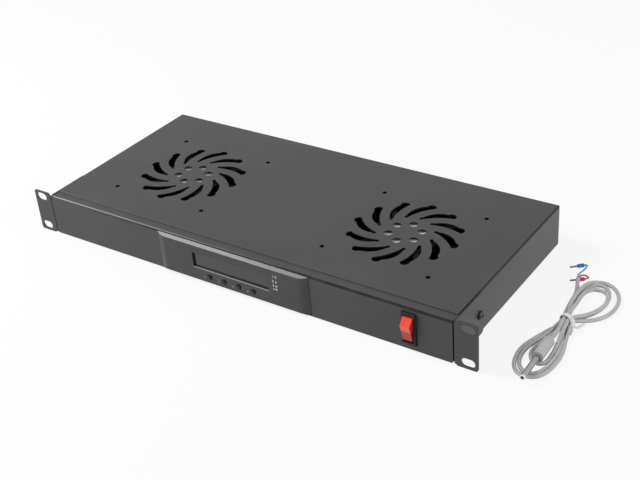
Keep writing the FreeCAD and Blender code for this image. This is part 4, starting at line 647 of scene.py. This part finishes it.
lead_grey = soft_pvc("lead_grey", (0.53, 0.53, 0.535, 1), 0.40)
lead_line = smooth_line("lead_cord", route, cable_thickness / 2)
lead = add_piece("lead_cord", lead_line, lead_grey)
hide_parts("lead_hank", "lead_tail", "lead_run")
dress(lead_grey, "probe_sleeve")
dress(plated("pin_steel", (0.18, 0.18, 0.19, 1), 0.30, 1.0, 0.8), "crimp_pins")
dress(probe_steel(), "probe_tube")
dress(soft_pvc("collar_blue", (0.002, 0.16, 0.62, 1), 0.34), "pin_collar_blue")
dress(soft_pvc("collar_red", (0.78, 0.010, 0.018, 1), 0.34), "pin_collar_red")
core_thickness = 0.0015
core_routes = {
    "blue": [(0.2589, 0.1486, 0.0050), (0.2578, 0.1522, 0.0050), (0.2568, 0.1590, 0.0040),
             (0.2570, 0.1660, 0.0022), (0.2572, 0.1730, 0.0017), (0.2562, 0.1776, 0.0017),
             (0.2537, 0.1754, 0.0017)],
    "red": [(0.2600, 0.1492, 0.0050), (0.2593, 0.1522, 0.0050), (0.2596, 0.1570, 0.0040),
            (0.2622, 0.1600, 0.0024), (0.2650, 0.1594, 0.0017), (0.2648, 0.1570, 0.0017),
            (0.2626, 0.1554, 0.0017)],
}
core_colours = {"blue": (0.075, 0.36, 0.74, 1), "red": (0.70, 0.035, 0.06, 1)}
for colour, points in core_routes.items():
    curve = smooth_line(f"lead_core_{colour}", points, core_thickness / 2)
    finish = soft_pvc(f"core_{colour}", core_colours[colour], 0.36)
    core = add_piece(f"lead_core_{colour}", curve, finish)
    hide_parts(f"core_{colour}")


# Tie: a white paper covered wire, wound flat round the bundle's neck and twisted shut at the
# front, its two ends left standing out along the floor.
tie_white = soft_pvc("tie_white", (0.86, 0.86, 0.85, 1), 0.5)
tie_middle = Vector((0.2765, 0.0868, floor_level + 0.0056))
tie_reach = (0.0064, 0.0063)
tie_width = 0.0030
tie_sheet = 0.00035
tie_foot = -0.0052
tie_corners = 12
band = bpy.data.curves.new("tie_band", "CURVE")
band.dimensions = "2D"
band.fill_mode = "NONE"
spline = band.splines.new("NURBS")
spline.points.add(tie_corners - 1)
for step, knot in enumerate(spline.points):
    turn = 2 * math.pi * step / tie_corners
    knot.co = (tie_reach[0] * math.cos(turn), max(tie_reach[1] * math.sin(turn), tie_foot), 0, 1)
spline.order_u = 3
spline.use_cyclic_u = True
band.extrude = tie_width / 2
band.bevel_depth = tie_sheet
tie = add_piece("tie_band", band, tie_white)
tie_slant = math.radians(-16)
tie.matrix_world = (Matrix.Translation(tie_middle) @ Matrix.Rotation(tie_slant, 4, "Z")
                    @ Matrix.Rotation(math.pi / 2, 4, "X"))
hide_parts("hank_tie")
tie_twist = {
    "knot": (0.0019, [(0.2806, 0.0858, 0.0098), (0.2820, 0.0850, 0.0088), (0.2830, 0.0836, 0.0070),
                      (0.2834, 0.0822, 0.0050)]),
    "long": (0.0010, [(0.2826, 0.0840, 0.0070), (0.2842, 0.0838, 0.0046), (0.2854, 0.0858, 0.0022),
                      (0.2866, 0.0896, 0.0013), (0.2884, 0.0942, 0.0012)]),
    "short": (0.0010, [(0.2830, 0.0832, 0.0066), (0.2840, 0.0812, 0.0040), (0.2846, 0.0786, 0.0016),
                       (0.2842, 0.0764, 0.0012)]),
}
for part, (radius, points) in tie_twist.items():
    curve = smooth_line(f"tie_{part}", points, radius)
    add_piece(f"tie_{part}", curve, tie_white)


# Studio: a wide pale floor and soft lamps from the left front, the right and above, at a plain
# level. Seen directly or in a polished surface, the surroundings are white, but not under the tray.
floor_mesh = bpy.data.meshes.new("floor")
half_floor = 4.0
floor_mesh.from_pydata([(-half_floor, -half_floor, 0), (half_floor, -half_floor, 0),
                        (half_floor, half_floor, 0), (-half_floor, half_floor, 0)], [], [(0, 1, 2, 3)])
floor = bpy.data.objects.new("floor", floor_mesh)
floor.location.z = floor_level
scene.collection.objects.link(floor)

paper = Finish("floor_paper")
paper_skin = paper.node("ShaderNodeBsdfDiffuse", {}, {"Color": (0.86, 0.86, 0.86, 1)})
paper_white = paper.node("ShaderNodeEmission", {}, {"Color": (1, 1, 1, 1), "Strength": 1.0})
tray_low, tray_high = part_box("chassis_tray")
paper_spot = paper.axes(paper.place())
shade_fade = 0.02
covered = (paper.between(paper_spot[0], tray_low[0], tray_high[0], shade_fade)
           * paper.between(paper_spot[1], tray_low[1], tray_high[1], shade_fade))
glow_share = 0.85
paper_glow = paper.seen() * glow_share * (1 - covered)
paper_mix = paper.node("ShaderNodeMixShader", {}, {0: paper_glow, 1: paper_skin, 2: paper_white})
paper.node("ShaderNodeOutputMaterial", {}, {"Surface": paper_mix})
floor_mesh.materials.append(paper.material)

world = bpy.data.worlds.new("studio")
world.use_nodes = True
scene.world = world
sky = Finish("studio_sky", world)
fill_level = 0.35
sky_level = sky.steps(sky.seen(), 0.0, 1.0, fill_level, 1.0)
sky_light = sky.node("ShaderNodeBackground", {}, {"Strength": sky_level})
sky.node("ShaderNodeOutputWorld", {}, {"Surface": sky_light})


def softbox(name, left_end, right_end, target, height, brightness):
    """A lamp stretched between two ends, facing a target, as bright as asked whatever its area."""
    left_end, right_end, target = Vector(left_end), Vector(right_end), Vector(target)
    middle = (left_end + right_end) / 2
    along = (right_end - left_end).normalized()
    away = middle - target
    away = (away - along * away.dot(along)).normalized()
    lamp = bpy.data.lights.new(name, "AREA")
    lamp.shape = "RECTANGLE"
    lamp.size = (right_end - left_end).length
    lamp.size_y = height
    lamp.energy = brightness * math.pi * lamp.size * height
    holder = bpy.data.objects.new(name, lamp)
    facing = Matrix((along, away.cross(along), away)).transposed().to_4x4()
    holder.matrix_world = Matrix.Translation(middle) @ facing
    scene.collection.objects.link(holder)


softbox("overhead_strip", left_end=(-1.50, -0.30, 1.28), right_end=(-0.90, -0.40, 1.74), target=(0, 0, 0),
        height=0.5, brightness=18)
softbox("left_box", left_end=(-1.25, -0.45, 0.50), right_end=(-0.85, -0.95, 0.50), target=(-0.1, 0, 0),
        height=0.5, brightness=9)
softbox("right_box", left_end=(1.5, -0.25, 0.7), right_end=(1.5, 0.65, 0.7), target=(0.1, 0.1, 0),
        height=0.9, brightness=4)
scene.view_settings.view_transform = "Standard"
